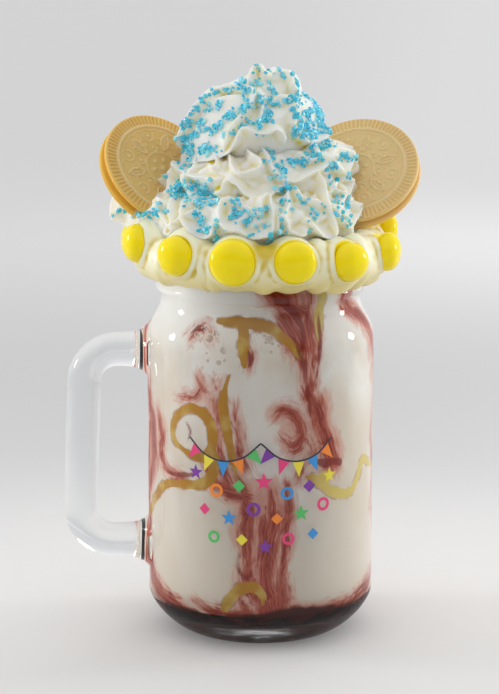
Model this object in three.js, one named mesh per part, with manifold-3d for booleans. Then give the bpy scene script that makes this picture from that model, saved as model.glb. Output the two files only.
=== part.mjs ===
// A milkshake in a glass jar mug, as a dessert bar serves it: a straight-sided jar with a round shoulder, a
// short neck and a D-shaped glass handle, filled to the lip over a layer of dark sauce. A thick ring of
// frosting covers the outside of the lip and holds round sugar-shelled candies. Piped whipped cream stands on
// the drink in tiers, and a golden sandwich cookie is pushed into it on each side, like a pair of ears.
//
// Millimetres, +Z up. The origin is on the jar's axis, on its flat base. The handle points along -X, and the
// side with the four candies in a row faces -Y.

import * as THREE from "three";
import { mergeVertices } from "three/addons/utils/BufferGeometryUtils.js";
import Module from "manifold-3d";

const wasm = await Module();
wasm.setup();

// Pieces that touch stay this far apart.
const GAP = 0.3;

// The jar. Its mouth takes a 70 mm lid, and its body is 80 mm across.
const JAR_HEIGHT = 136;
const BODY_RADIUS = 40;
const BASE_RADIUS = 26;
const HEEL_HEIGHT = 14;
const HEEL_ROUNDNESS = 1.45;
const SHOULDER_Z = 104;
const SHOULDER_EASE = 1.25;
const NECK_Z = 119;
const NECK_RADIUS = 35;
const BEAD_Z = 123.3;
const BEAD_RADIUS = 36.8;
const BEAD_HALF = 2.2;
const LIP_RADIUS = 34.2;
const LIP_ROUNDING = 0.9;
const WALL = 3;
const FLOOR_Z = 6;
// How far in from the inside wall, and how far above the floor, each point of the inside corner lies.
const FLOOR_CORNER = [
  [12, 0],
  [2.6, 5],
  [0, 11],
];
const BASE_GROOVE = { inner: 17, outer: 21, depth: 0.8 };
const JAR_SEGMENTS = 36;

// The handle: the middle of its rod, at the jar's left.
const HANDLE_TOP_Z = 100;
const HANDLE_BOTTOM_Z = 30.4;
const HANDLE_UPPER_X = -62.6;
const HANDLE_LOWER_X = -64.4;
const HANDLE_CORNER = 11;
const HANDLE_ACROSS = 12;
const HANDLE_DEPTH = 14;
const HANDLE_ROOT = { depth: 1.5, length: 6, narrow: 0.9, flare: 0.53 };

// What the jar holds.
const SAUCE_TOP_Z = 10.8;
const DRINK_TOP_Z = 134;

// The frosting ring, as an upright oval section that is swept round the lip.
const FROSTING_MIDDLE = { radius: 39.4, z: 136 };
const FROSTING_HALF = { out: 6.4, up: 10.6 };
const FROSTING_LEAN = 0.07;
const FROSTING_LOBE = 0.9;
const FROSTING_SAG = 1.6;

// The candies: angle from the front, in degrees, growing towards +X, then the height and the radius of each.
const CANDY_HALF_THICKNESS = 4.2;
const CANDY_SEAT_RADIUS = 45.6;
const CANDY_PLACES = [
  [-70, 139.8, 6.5],
  [-39, 138.2, 6.5],
  [-11.9, 137.2, 7.5],
  [14.8, 137.2, 6.9],
  [41.5, 136.2, 6.5],
  [74, 136.6, 6.4],
  [105, 141.6, 6.5],
  [136, 138, 6.9],
  [167, 137, 6.6],
  [198, 138.2, 7.1],
  [228, 137.2, 6.5],
  [259, 138, 6.7],
];

// The whipped cream: radius and height along its outline, and the piped tiers that wind up it.
const CREAM_OUTLINE = [
  [33, 141.5],
  [39, 145],
  [40.5, 151],
  [36, 158],
  [31.5, 165],
  [28.5, 173],
  [25, 181],
  [19.5, 188],
  [13, 194],
  [7, 198.5],
  [0, 201],
];
const CREAM_BASE_Z = DRINK_TOP_Z + GAP;
const CREAM_PLUG_RADIUS = 30.6;
const CREAM_PLUG_TOP_Z = 146;
const CREAM_FOOT = 4;
const TIER_PITCH = 15.5;
const TIER_DEPTH = 0.13;
const FIN_COUNT = 9;
const CREAM_SEGMENTS = 4 * FIN_COUNT;
const FIN_DEPTH = 0.055;
const FIN_TWIST = 0.09;
const SIDE_BULGE = { angle: -104, width: 32, height: 149, depth: 9, reach: 10 };

// The sandwich cookies: two embossed wafers with a thin filling set back between them. A place gives the
// middle of the front face, and which way that face looks: its angle from the front, and above level.
const COOKIE_RADIUS = 22.2;
const WAFER_THICKNESS = 2.1;
const WAFER_EDGE = 0.5;
const FILLING_THICKNESS = 1.2;
const FILLING_RADIUS = 19.4;
const FILLING_EDGE = 0.3;
const WAFER_RIM = { inner: 18.2, height: 0.35 };
const COOKIE_PLACES = {
  right: { middle: [33.2, 3, 163.6], angle: -17.6, above: 42 },
  left: { middle: [-34, 3, 163.8], angle: 38, above: 37 },
};

const radians = THREE.MathUtils.degToRad;

// A closed geometry as a solid, facing outwards.
function solid(geometry) {
  const bare = geometry.clone();
  bare.deleteAttribute("normal");
  bare.deleteAttribute("uv");
  const merged = mergeVertices(bare, 1e-4);
  const triVerts = new Uint32Array(merged.index.array);
  const vertProperties = merged.attributes.position.array;
  const made = new wasm.Manifold(new wasm.Mesh({ numProp: 3, vertProperties, triVerts }));
  if (made.volume() > 0) return made;
  for (let i = 0; i < triVerts.length; i += 3) {
    [triVerts[i + 1], triVerts[i + 2]] = [triVerts[i + 2], triVerts[i + 1]];
  }
  return new wasm.Manifold(new wasm.Mesh({ numProp: 3, vertProperties, triVerts }));
}

// A solid as a geometry that a mesh can hold.
function geometryOf(made) {
  const mesh = made.getMesh();
  const geometry = new THREE.BufferGeometry();
  geometry.setAttribute("position", new THREE.BufferAttribute(new Float32Array(mesh.vertProperties), 3));
  geometry.setIndex(new THREE.BufferAttribute(new Uint32Array(mesh.triVerts), 1));
  geometry.computeVertexNormals();
  return geometry;
}

// A profile of [radius, height] pairs turned about +Z.
function turned(profile, segments) {
  const points = profile.map(([radius, height]) => new THREE.Vector2(radius, height));
  return new THREE.LatheGeometry(points, segments).rotateX(Math.PI / 2);
}

// Moves every vertex of a turned geometry to the radius and height that shape gives for its angle. The angle
// runs from the front, -Y, towards +X.
function reshape(geometry, shape) {
  const place = geometry.attributes.position;
  for (let i = 0; i < place.count; i++) {
    const x = place.getX(i);
    const y = place.getY(i);
    const radius = Math.hypot(x, y);
    if (radius < 1e-3) continue;
    const [newRadius, newHeight] = shape(Math.atan2(x, -y), radius, place.getZ(i));
    place.setXYZ(i, (x / radius) * newRadius, (y / radius) * newRadius, newHeight);
  }
  return geometry;
}

function smoothstep(from, to, value) {
  const t = THREE.MathUtils.clamp((value - from) / (to - from), 0, 1);
  return t * t * (3 - 2 * t);
}

// Outline of the jar's outside from the rim of its base to its lip, moved outwards by grow.
function jarOutside(grow = 0) {
  const points = [];
  const heelSteps = 4;
  for (let i = 0; i <= heelSteps; i++) {
    const turn = ((i / heelSteps) * Math.PI) / 2;
    const out = Math.sin(turn) ** (2 / HEEL_ROUNDNESS);
    const up = 1 - Math.cos(turn) ** (2 / HEEL_ROUNDNESS);
    points.push([BASE_RADIUS + (BODY_RADIUS - BASE_RADIUS) * out, HEEL_HEIGHT * up]);
  }
  const shoulderSteps = 4;
  for (let i = 0; i <= shoulderSteps; i++) {
    const t = i / shoulderSteps;
    const inward = 0.5 - 0.5 * Math.cos(Math.PI * t ** SHOULDER_EASE);
    points.push([
      BODY_RADIUS - (BODY_RADIUS - NECK_RADIUS) * inward,
      SHOULDER_Z + (NECK_Z - SHOULDER_Z) * t,
    ]);
  }
  points.push([NECK_RADIUS, BEAD_Z - BEAD_HALF]);
  points.push([BEAD_RADIUS, BEAD_Z - BEAD_HALF / 3]);
  points.push([BEAD_RADIUS, BEAD_Z + BEAD_HALF / 3]);
  points.push([LIP_RADIUS, BEAD_Z + BEAD_HALF]);
  points.push([LIP_RADIUS, JAR_HEIGHT - LIP_ROUNDING]);
  points.push([LIP_RADIUS - LIP_ROUNDING, JAR_HEIGHT]);
  return points.map(([radius, height]) => [radius + grow, height]);
}

// Outline of the jar's inside, from the middle of its floor to its lip, moved inwards by shrink.
function jarInside(shrink = 0) {
  const body = BODY_RADIUS - WALL - shrink;
  const neck = NECK_RADIUS - WALL - shrink;
  const third = (NECK_Z - SHOULDER_Z) / 3;
  return [
    [0, FLOOR_Z + shrink],
    ...FLOOR_CORNER.map(([inward, up]) => [body - inward, FLOOR_Z + Math.max(up, shrink)]),
    [body, SHOULDER_Z],
    [body - 1, SHOULDER_Z + third],
    [neck + 1, NECK_Z - third],
    [neck, NECK_Z],
    [neck, JAR_HEIGHT],
  ];
}

function radiusAt(outline, height) {
  for (let i = 1; i < outline.length; i++) {
    const [radius0, height0] = outline[i - 1];
    const [radius1, height1] = outline[i];
    if (height <= height1 && height1 > height0) {
      return radius0 + ((radius1 - radius0) * (height - height0)) / (height1 - height0);
    }
  }
  return outline[outline.length - 1][0];
}

// A pressed base with a shallow ring groove, a heel, a straight body, a shoulder, a bead under the lip, and
// the hollow inside.
function jarBody() {
  const { inner, outer, depth } = BASE_GROOVE;
  return solid(
    turned(
      [
        [0, 0],
        [inner, 0],
        [inner + depth, depth],
        [outer - depth, depth],
        [outer, 0],
        ...jarOutside(),
        ...jarInside().reverse(),
      ],
      JAR_SEGMENTS,
    ),
  );
}

// A short oval cone that widens a root of the handle where it meets the body.
function handleRoot(height) {
  const { depth, length, narrow, flare } = HANDLE_ROOT;
  const steps = 3;
  const profile = [[0, 0]];
  for (let i = 0; i <= steps; i++) {
    const t = i / steps;
    profile.push([narrow + flare * (1 - t) ** 2, (length + depth) * t]);
  }
  profile.push([0, length + depth]);
  const root = turned(profile, 10);
  root.scale(HANDLE_ACROSS / 2, HANDLE_DEPTH / 2, 1);
  root.rotateY(-Math.PI / 2);
  root.translate(-(BODY_RADIUS - depth), 0, height);
  return solid(root);
}

// The handle is a rod of oval section on a D-shaped path, which widens where it joins the body.
function handle() {
  const inside = BODY_RADIUS - HANDLE_ROOT.depth;
  const path = new THREE.CurvePath();
  const at = (x, z) => new THREE.Vector3(x, 0, z);
  const upper = [at(-inside, HANDLE_TOP_Z), at(HANDLE_UPPER_X + HANDLE_CORNER, HANDLE_TOP_Z)];
  const upperBend = at(HANDLE_UPPER_X, HANDLE_TOP_Z);
  const side = [
    at(HANDLE_UPPER_X, HANDLE_TOP_Z - HANDLE_CORNER),
    at(HANDLE_LOWER_X, HANDLE_BOTTOM_Z + HANDLE_CORNER),
  ];
  const lowerBend = at(HANDLE_LOWER_X, HANDLE_BOTTOM_Z);
  const lower = [at(HANDLE_LOWER_X + HANDLE_CORNER, HANDLE_BOTTOM_Z), at(-inside, HANDLE_BOTTOM_Z)];
  path.add(new THREE.LineCurve3(...upper));
  path.add(new THREE.QuadraticBezierCurve3(upper[1], upperBend, side[0]));
  path.add(new THREE.LineCurve3(...side));
  path.add(new THREE.QuadraticBezierCurve3(side[1], lowerBend, lower[0]));
  path.add(new THREE.LineCurve3(...lower));
  const section = new THREE.Shape();
  section.absellipse(0, 0, HANDLE_ACROSS / 2, HANDLE_DEPTH / 2, 0, 2 * Math.PI);
  const rod = solid(new THREE.ExtrudeGeometry(section, { steps: 26, curveSegments: 4, extrudePath: path }));
  return rod.add(handleRoot(HANDLE_TOP_Z)).add(handleRoot(HANDLE_BOTTOM_Z));
}

// A plain cylinder on the jar's axis.
function cylinder(radius, low, high) {
  const profile = [
    [0, low],
    [radius, low],
    [radius, high],
    [0, high],
  ];
  return solid(turned(profile, JAR_SEGMENTS));
}

function jar() {
  const middleOfWall = cylinder(BODY_RADIUS - WALL / 2, 0, JAR_HEIGHT);
  return jarBody().add(handle().subtract(middleOfWall));
}

// The dark sauce that has sunk to the floor of the jar.
function sauceLayer() {
  const wall = jarInside(GAP).filter(([, height]) => height < SAUCE_TOP_Z);
  const edge = radiusAt(jarInside(GAP), SAUCE_TOP_Z);
  return solid(turned([...wall, [edge, SAUCE_TOP_Z], [0, SAUCE_TOP_Z]], JAR_SEGMENTS));
}

// The drink, from the top of the sauce to just under the lip.
function milkshake() {
  const floor = SAUCE_TOP_Z + GAP;
  const inside = jarInside(GAP);
  const profile = [
    [0, floor],
    [radiusAt(inside, floor), floor],
    ...inside.filter(([, height]) => height > floor && height < DRINK_TOP_Z),
    [radiusAt(inside, DRINK_TOP_Z), DRINK_TOP_Z],
    [0, DRINK_TOP_Z],
  ];
  return solid(turned(profile, JAR_SEGMENTS));
}

// A round lentil on its seat in the frosting, with its flat side facing outwards. grow makes it larger all
// over.
function candy([angle, height, radius], grow = 0) {
  const shape = new THREE.SphereGeometry(1, 9, 6).rotateX(Math.PI / 2);
  const across = radius + grow;
  shape.scale(across, across, CANDY_HALF_THICKNESS + grow);
  shape.rotateX(Math.PI / 2);
  shape.translate(0, -CANDY_SEAT_RADIUS, height);
  shape.rotateZ(radians(angle));
  return solid(shape);
}

// How much a lobe of frosting bulges at an angle: most at each candy, least halfway between two.
function lobe(angle) {
  const away = CANDY_PLACES.map(([place]) => {
    const difference = angle - radians(place);
    return Math.abs(Math.atan2(Math.sin(difference), Math.cos(difference)));
  });
  return Math.cos(Math.min(...away) * 6);
}

// The frosting ring, which covers the lip, the thread and part of the bead. grow makes it larger all over.
function frostingBlob(grow = 0) {
  const { radius, z } = FROSTING_MIDDLE;
  const section = [];
  const sides = 10;
  for (let i = 0; i <= sides; i++) {
    const turn = (i / sides) * 2 * Math.PI;
    const out = Math.sign(Math.cos(turn)) * Math.abs(Math.cos(turn)) ** 0.85;
    const up = Math.sign(Math.sin(turn)) * Math.abs(Math.sin(turn)) ** 0.85;
    section.push([
      radius + (FROSTING_HALF.out + grow) * out + FROSTING_LEAN * FROSTING_HALF.up * up,
      z + (FROSTING_HALF.up + grow) * up,
    ]);
  }
  return solid(
    reshape(turned(section, JAR_SEGMENTS), (angle, oldRadius, height) => {
      const outside = smoothstep(radius - 2, radius + 4, oldRadius);
      const below = smoothstep(z, z - FROSTING_HALF.up, height);
      const bulge = lobe(angle) * FROSTING_LOBE;
      const sag = FROSTING_SAG * Math.sin(angle);
      return [oldRadius + bulge * outside, height - (bulge + sag) * below];
    }),
  );
}

// The outside of the jar, filled in and grown by the gap, so that what sits on it can be cut to fit.
function jarFilled() {
  return solid(turned([[0, 0], ...jarOutside(GAP), [0, JAR_HEIGHT + GAP]], JAR_SEGMENTS));
}

function frostingRing(cookies) {
  const seats = CANDY_PLACES.map((place) => candy(place, GAP));
  return [jarFilled(), ...seats, ...cookies].reduce((made, cutter) => made.subtract(cutter), frostingBlob());
}

// Outline of the whipped cream, wound with tiers and cut by the fins that a star nozzle leaves.
function creamSwirl() {
  const rings = 15;
  const [, low] = CREAM_OUTLINE[0];
  const [, high] = CREAM_OUTLINE[CREAM_OUTLINE.length - 1];
  const profile = [[0, low]];
  for (let i = 0; i < rings; i++) {
    const height = low + ((high - low) * i) / rings;
    profile.push([radiusAt(CREAM_OUTLINE, height), height]);
  }
  profile.push([0, high]);
  return solid(
    reshape(turned(profile, CREAM_SEGMENTS), (angle, radius, height) => {
      const turn = (height - low) / TIER_PITCH - angle / (2 * Math.PI);
      const tier = Math.abs(Math.sin(Math.PI * turn)) - 0.5;
      const fin = Math.cos(FIN_COUNT * angle + FIN_TWIST * height);
      const open = smoothstep(low, low + CREAM_FOOT, height);
      const side = (angle - radians(SIDE_BULGE.angle)) / radians(SIDE_BULGE.width);
      const level = (height - SIDE_BULGE.height) / SIDE_BULGE.depth;
      const bulge = SIDE_BULGE.reach * Math.exp(-side * side - level * level);
      return [radius * (1 + open * (TIER_DEPTH * tier + FIN_DEPTH * fin)) + bulge, height];
    }),
  );
}

function whippedCream(cookies) {
  const plug = cylinder(CREAM_PLUG_RADIUS, CREAM_BASE_Z, CREAM_PLUG_TOP_Z);
  const seats = CANDY_PLACES.map((place) => candy(place, GAP));
  const cutters = [frostingBlob(GAP), jarFilled().subtract(plug), ...seats, ...cookies];
  const cut = cutters.reduce((made, cutter) => made.subtract(cutter), creamSwirl().add(plug));
  return cut.decompose().sort((one, other) => other.volume() - one.volume())[0];
}

// A wafer with a rounded edge and a raised rim round its outer face, which looks along +Z.
function wafer() {
  const { inner, height } = WAFER_RIM;
  const edge = COOKIE_RADIUS - WAFER_EDGE;
  return turned(
    [
      [0, -WAFER_THICKNESS],
      [edge, -WAFER_THICKNESS],
      [COOKIE_RADIUS, -WAFER_THICKNESS / 2],
      [edge, 0],
      [inner, 0],
      [inner - height, -height],
      [0, -height],
    ],
    24,
  );
}

function cookieFilling() {
  const top = -WAFER_THICKNESS - GAP;
  return turned(
    [
      [0, top - FILLING_THICKNESS],
      [FILLING_RADIUS - FILLING_EDGE, top - FILLING_THICKNESS],
      [FILLING_RADIUS, top - FILLING_THICKNESS / 2],
      [FILLING_RADIUS - FILLING_EDGE, top],
      [0, top],
    ],
    20,
  );
}

const COOKIE_THICKNESS = 2 * WAFER_THICKNESS + FILLING_THICKNESS + 2 * GAP;

// Turns a cookie that lies face up at the origin to its place in the cream.
function cookiePose({ middle, angle, above }) {
  const tip = new THREE.Matrix4().makeRotationX(Math.PI / 2 - radians(above));
  const swing = new THREE.Matrix4().makeRotationZ(radians(angle));
  return new THREE.Matrix4().makeTranslation(...middle).multiply(swing).multiply(tip);
}

// The slot that a cookie leaves in the cream.
function cookieSlot(place) {
  const slot = turned(
    [
      [0, -COOKIE_THICKNESS - GAP],
      [COOKIE_RADIUS + GAP, -COOKIE_THICKNESS - GAP],
      [COOKIE_RADIUS + GAP, GAP],
      [0, GAP],
    ],
    24,
  );
  return solid(slot.applyMatrix4(cookiePose(place)));
}

function material(colour, roughness, extra = {}) {
  return new THREE.MeshStandardMaterial({ color: colour, roughness, metalness: 0, ...extra });
}

const glass = material(0xdfe6e6, 0.05, { transparent: true, opacity: 0.35 });
const drink = material(0xcfc7ba, 0.35);
const sauce = material(0x3b1512, 0.2);
const frosting = material(0xe9e4b4, 0.4);
const candyShell = material(0xe8d400, 0.15);
const cream = material(0xf4f1e6, 0.45);
const biscuit = material(0xc9a866, 0.75);
const filling = material(0xf2ead2, 0.5);

const part = new THREE.Group();

function add(name, geometry, look, parent = part) {
  const mesh = new THREE.Mesh(geometry, look);
  mesh.name = name;
  parent.add(mesh);
}

const slots = Object.values(COOKIE_PLACES).map(cookieSlot);

add("jar", geometryOf(jar()), glass);
add("dark_sauce", geometryOf(sauceLayer()), sauce);
add("milkshake", geometryOf(milkshake()), drink);
add("frosting_rim", geometryOf(frostingRing(slots)), frosting);
add("whipped_cream", geometryOf(whippedCream(slots)), cream);
CANDY_PLACES.forEach((place, i) => {
  add("candy_" + String(i + 1).padStart(2, "0"), geometryOf(candy(place)), candyShell);
});
for (const [side, place] of Object.entries(COOKIE_PLACES)) {
  const cookie = new THREE.Group();
  cookie.applyMatrix4(cookiePose(place));
  const back = wafer().rotateX(Math.PI).translate(0, 0, -COOKIE_THICKNESS);
  add("cookie_" + side + "_front_wafer", wafer(), biscuit, cookie);
  add("cookie_" + side + "_filling", cookieFilling(), filling, cookie);
  add("cookie_" + side + "_back_wafer", back, biscuit, cookie);
  part.add(cookie);
}

export default part;
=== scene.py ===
import math
import random

import bmesh
import bpy
import numpy as np
from mathutils import Matrix, Vector, noise
from mathutils.bvhtree import BVHTree


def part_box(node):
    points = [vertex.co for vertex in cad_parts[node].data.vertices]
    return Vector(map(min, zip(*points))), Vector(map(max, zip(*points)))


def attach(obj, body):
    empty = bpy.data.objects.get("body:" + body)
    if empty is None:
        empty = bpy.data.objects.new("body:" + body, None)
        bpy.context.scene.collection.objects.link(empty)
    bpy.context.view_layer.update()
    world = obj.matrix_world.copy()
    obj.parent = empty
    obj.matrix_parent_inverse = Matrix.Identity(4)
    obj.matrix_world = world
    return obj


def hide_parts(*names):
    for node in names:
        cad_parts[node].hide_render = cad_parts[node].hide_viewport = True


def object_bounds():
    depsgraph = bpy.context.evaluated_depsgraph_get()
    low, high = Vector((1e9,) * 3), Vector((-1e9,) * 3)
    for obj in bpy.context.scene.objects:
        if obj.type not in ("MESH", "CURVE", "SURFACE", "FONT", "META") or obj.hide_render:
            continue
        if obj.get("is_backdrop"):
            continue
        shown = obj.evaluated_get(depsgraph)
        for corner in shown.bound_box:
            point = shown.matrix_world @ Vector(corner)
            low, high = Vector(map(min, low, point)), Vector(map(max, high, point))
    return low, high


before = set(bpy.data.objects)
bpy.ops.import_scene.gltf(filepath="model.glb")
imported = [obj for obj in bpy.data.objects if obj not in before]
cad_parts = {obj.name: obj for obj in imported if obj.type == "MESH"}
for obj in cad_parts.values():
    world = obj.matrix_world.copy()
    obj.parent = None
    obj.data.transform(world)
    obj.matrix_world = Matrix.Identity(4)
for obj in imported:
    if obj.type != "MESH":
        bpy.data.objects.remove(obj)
cad_low, cad_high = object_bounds()

# The studio: a pale table under soft light, with a lamp box low down on each side of the jar and a wide one
# above it. The camera stands 75 cm away and looks down a little, as it did for the photograph.
MM = 0.001
CAMERA_PLACE = (-3.86, -750, 241.7)
CAMERA_DOWN = 10.65
CAMERA_LENS = 111.9
TABLE_RADIUS = 14000
TABLE_NEAR_COLOUR = (0.68, 0.675, 0.67, 1)
TABLE_BEHIND_SHADE = (0.525, 0.525, 0.53, 1)
TABLE_FAR_COLOUR = (0.71, 0.71, 0.715, 1)
TABLE_FAR_RIGHT_LIGHT = (0.80, 0.80, 0.80, 1)
ROOM_FRONT_COLOUR = (0.29, 0.29, 0.29, 1)
ROOM_COLOUR = (0.68, 0.68, 0.69, 1)
ROOM_TOP_COLOUR = (0.98, 0.98, 0.98, 1)
# Each lamp: the angle that it shines from, measured from the front towards +X, then its height, its distance,
# its width and height, its power in watts, and whether it is mirrored in what shines.
LAMPS = {
    "lamp_left": (-97, 190, 560, (260, 460), 0.95, False),
    "lamp_right": (112, 190, 560, (260, 460), 1.25, False),
    "lamp_front": (-14, 420, 900, (160, 160), 0.4, False),
    "lamp_behind": (150, 620, 1100, (500, 500), 1.6, False),
    "glint_left": (-100, 215, 520, (80, 110), 0.34, True),
    "glint_right": (104, 215, 520, (80, 110), 0.34, True),
}


def around(angle, radius, height):
    """A point at an angle from the front, in degrees growing towards +X, in metres from millimetres."""
    turn = math.radians(angle)
    return Vector((radius * math.sin(turn), -radius * math.cos(turn), height)) * MM


def add_node(tree, kind, inputs=None, **settings):
    made = tree.nodes.new("ShaderNode" + kind)
    for key, value in settings.items():
        setattr(made, key, value)
    for key, value in (inputs or {}).items():
        if isinstance(value, bpy.types.NodeSocket):
            tree.links.new(value, made.inputs[key])
        else:
            made.inputs[key].default_value = value
    return made


def new_finish(name, **settings):
    """A material, its node tree and its Principled shader with the given settings."""
    made = bpy.data.materials.new(name)
    made.use_nodes = True
    shader = made.node_tree.nodes["Principled BSDF"]
    for key, value in settings.items():
        shader.inputs[key.replace("_", " ")].default_value = value
    return made, made.node_tree, shader


def blended(tree, share, one, other):
    """The colour one where share is 0, and the colour other where it is 1."""
    return add_node(tree, "Mix", {0: share, 6: one, 7: other}, data_type="RGBA").outputs[2]


def stepped(tree, value, low, high):
    """0 where value is under low, 1 where it is over high, and smooth between."""
    inputs = {"Value": value, "From Min": low, "From Max": high}
    return add_node(tree, "MapRange", inputs, interpolation_type="SMOOTHSTEP").outputs["Result"]


def sums(tree, operation, one, other):
    return add_node(tree, "Math", {0: one, 1: other}, operation=operation).outputs[0]


def times(tree, one, other):
    return sums(tree, "MULTIPLY", one, other)


def plus(tree, one, other):
    return sums(tree, "ADD", one, other)


def laid(tree, colour, other, value, low, high, most=1.0):
    """Lays other over colour: not where value is under low, and by the share most where it is over high."""
    share = times(tree, stepped(tree, value, low, high), most)
    return blended(tree, share, colour, other)


def swing(tree, value, reach):
    """Noise turned into a number that swings to both sides of 0, by about half of reach."""
    return times(tree, sums(tree, "SUBTRACT", value, 0.5), reach)


def stored(tree, name):
    """The number of that name that the mesh stores for each vertex."""
    return add_node(tree, "Attribute", attribute_name=name).outputs["Fac"]


def along(tree, axis):
    """How far along an axis the shaded point lies, in metres."""
    place = add_node(tree, "TexCoord").outputs["Object"]
    return add_node(tree, "SeparateXYZ", {0: place}).outputs[axis]


def grain(tree, size, detail=3.0, stretch=(1, 1, 1), distortion=0.0):
    """Noise whose features are about size millimetres across, on Object coordinates."""
    place = add_node(tree, "TexCoord").outputs["Object"]
    scaled = add_node(tree, "Mapping", {"Vector": place, "Scale": stretch}).outputs[0]
    inputs = {"Vector": scaled, "Scale": 1 / (size * MM), "Detail": detail, "Distortion": distortion}
    return add_node(tree, "TexNoise", inputs).outputs["Fac"]


def bumped(tree, shader, height, distance, strength=1.0):
    inputs = {"Height": height, "Distance": distance * MM, "Strength": strength}
    tree.links.new(add_node(tree, "Bump", inputs).outputs[0], shader.inputs["Normal"])


def add_piece(name, bm, finish, smooth=True):
    """A mesh object at the origin that holds what bm holds."""
    mesh = bpy.data.meshes.new(name)
    bm.to_mesh(mesh)
    bm.free()
    if smooth:
        mesh.shade_smooth()
    piece = bpy.data.objects.new(name, mesh)
    bpy.context.scene.collection.objects.link(piece)
    if finish:
        mesh.materials.append(finish)
    return piece


camera = bpy.data.objects.new("camera", bpy.data.cameras.new("camera"))
camera.location = Vector(CAMERA_PLACE) * MM
camera.rotation_euler = (math.radians(90 - CAMERA_DOWN), 0, 0)
camera.data.lens = CAMERA_LENS
bpy.context.scene.collection.objects.link(camera)
bpy.context.scene.camera = camera
bpy.context.scene.view_settings.view_transform = "Standard"

for name, (angle, height, distance, size, power, mirrored) in LAMPS.items():
    lamp = bpy.data.objects.new(name, bpy.data.lights.new(name, "AREA"))
    lamp.data.shape = "ELLIPSE"
    lamp.data.size, lamp.data.size_y = size[0] * MM, size[1] * MM
    lamp.data.energy = power
    lamp.location = around(angle, distance, height)
    aim = Vector((0, 0, 110 * MM)) - lamp.location
    lamp.rotation_euler = aim.to_track_quat("-Z", "Y").to_euler()
    lamp.visible_camera = False
    lamp.visible_glossy = mirrored
    bpy.context.scene.collection.objects.link(lamp)

world = bpy.data.worlds.new("room")
world.use_nodes = True
tree = world.node_tree
looking = add_node(tree, "SeparateXYZ", {0: add_node(tree, "TexCoord").outputs["Generated"]})
room = laid(tree, ROOM_FRONT_COLOUR, ROOM_COLOUR, looking.outputs["Y"], -0.95, 0.1)
room = laid(tree, room, ROOM_TOP_COLOUR, looking.outputs["Z"], 0.1, 0.75)
tree.links.new(room, tree.nodes["Background"].inputs["Color"])
bpy.context.scene.world = world

table_finish, tree, shader = new_finish("table_finish", Roughness=0.75)
place = add_node(tree, "TexCoord").outputs["Object"]
far_off = add_node(tree, "VectorMath", {0: place}, operation="LENGTH").outputs["Value"]
sideways = sums(tree, "DIVIDE", along(tree, "X"), far_off)
# Painted shade and painted light: the table is painted darker from 7 cm out round the jar, and lighter far off
# to the right.
far_lit_colour = laid(tree, TABLE_FAR_COLOUR, TABLE_FAR_RIGHT_LIGHT, sideways, -0.02, 0.13)
colour = laid(tree, TABLE_NEAR_COLOUR, TABLE_BEHIND_SHADE, far_off, 0.07, 0.30)
colour = laid(tree, colour, far_lit_colour, far_off, 0.35, 1.1)
tree.links.new(colour, shader.inputs["Base Color"])
bm = bmesh.new()
bmesh.ops.create_circle(bm, cap_ends=True, segments=96, radius=TABLE_RADIUS * MM)
table = add_piece("table", bm, table_finish)
table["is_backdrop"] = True


# The jar mug is pressed from clear soda-lime glass: a straight body with a round heel and shoulder, a bead
# under the lip, and a D-shaped handle joined on at the left. It keeps the size of its CAD solid.
BODY_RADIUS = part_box("jar")[1].x / MM
JAR_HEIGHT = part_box("jar")[1].z / MM
BASE_RADIUS = 26
HEEL_HEIGHT = 14
HEEL_ROUNDNESS = 1.45
SHOULDER_Z = 104
NECK_Z = 119
NECK_RADIUS = 35
BEAD_Z = 123.3
BEAD_RADIUS = 36.8
LIP_RADIUS = 34.2
WALL = 3
FLOOR_Z = 9.6
FLOOR_CORNER = (13, 10.5)
HANDLE_TOP_Z = 100
HANDLE_BOTTOM_Z = 30.4
HANDLE_UPPER_X = -62.6
HANDLE_LOWER_X = -64.4
HANDLE_CORNER = 12
HANDLE_ACROSS = 12
HANDLE_DEPTH = 14
ROOT_SUNK = 1.5
# The handle widens towards its roots: by how much, and over what length. The second flare is the shorter one.
ROOT_FLARES = [(0.25, 13), (0.55, 6.5)]
BEAD_HALF = 2.3
BEAD_OUT = 2.2
GLASS_COLOUR = (0.94, 0.955, 0.96, 1)
GLASS_SHADE = (0.95, 0.965, 0.96, 1)


def heel_outline(steps=14):
    """The round heel from the base up to the straight body, as (radius, height)."""
    points = []
    for i in range(steps + 1):
        turn = i / steps * math.pi / 2
        out = math.sin(turn) ** (2 / HEEL_ROUNDNESS)
        up = 1 - math.cos(turn) ** (2 / HEEL_ROUNDNESS)
        points.append((BASE_RADIUS + (BODY_RADIUS - BASE_RADIUS) * out, HEEL_HEIGHT * up))
    return points


def shoulder_outline(inset=0.0, steps=12):
    """The shoulder from the body up to the neck, as (radius, height), moved inwards by inset."""
    points = []
    for i in range(steps + 1):
        t = i / steps
        inward = 0.5 - 0.5 * math.cos(math.pi * t**1.25)
        radius = BODY_RADIUS - (BODY_RADIUS - NECK_RADIUS) * inward - inset
        points.append((radius, SHOULDER_Z + (NECK_Z - SHOULDER_Z) * t))
    return points


def rounded_outline(middle, half, out, steps=8):
    """A half round bead that stands out from radius middle[0]."""
    radius, height = middle
    turns = [math.pi * i / steps - math.pi / 2 for i in range(steps + 1)]
    return [(radius + out * math.cos(t) ** 1.3, height + half * math.sin(t)) for t in turns]


def turned(profile, steps):
    """A bmesh of a profile of (radius, height) in millimetres, spun round the jar's axis."""
    bm = bmesh.new()
    verts = [bm.verts.new((radius * MM, 0, height * MM)) for radius, height in profile]
    edges = [bm.edges.new(pair) for pair in zip(verts, verts[1:])]
    bmesh.ops.spin(
        bm, geom=verts + edges, axis=(0, 0, 1), cent=(0, 0, 0), angle=2 * math.pi, steps=steps, use_merge=True
    )
    bmesh.ops.remove_doubles(bm, verts=bm.verts, dist=1e-6)
    bmesh.ops.recalc_face_normals(bm, faces=bm.faces)
    return bm


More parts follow.
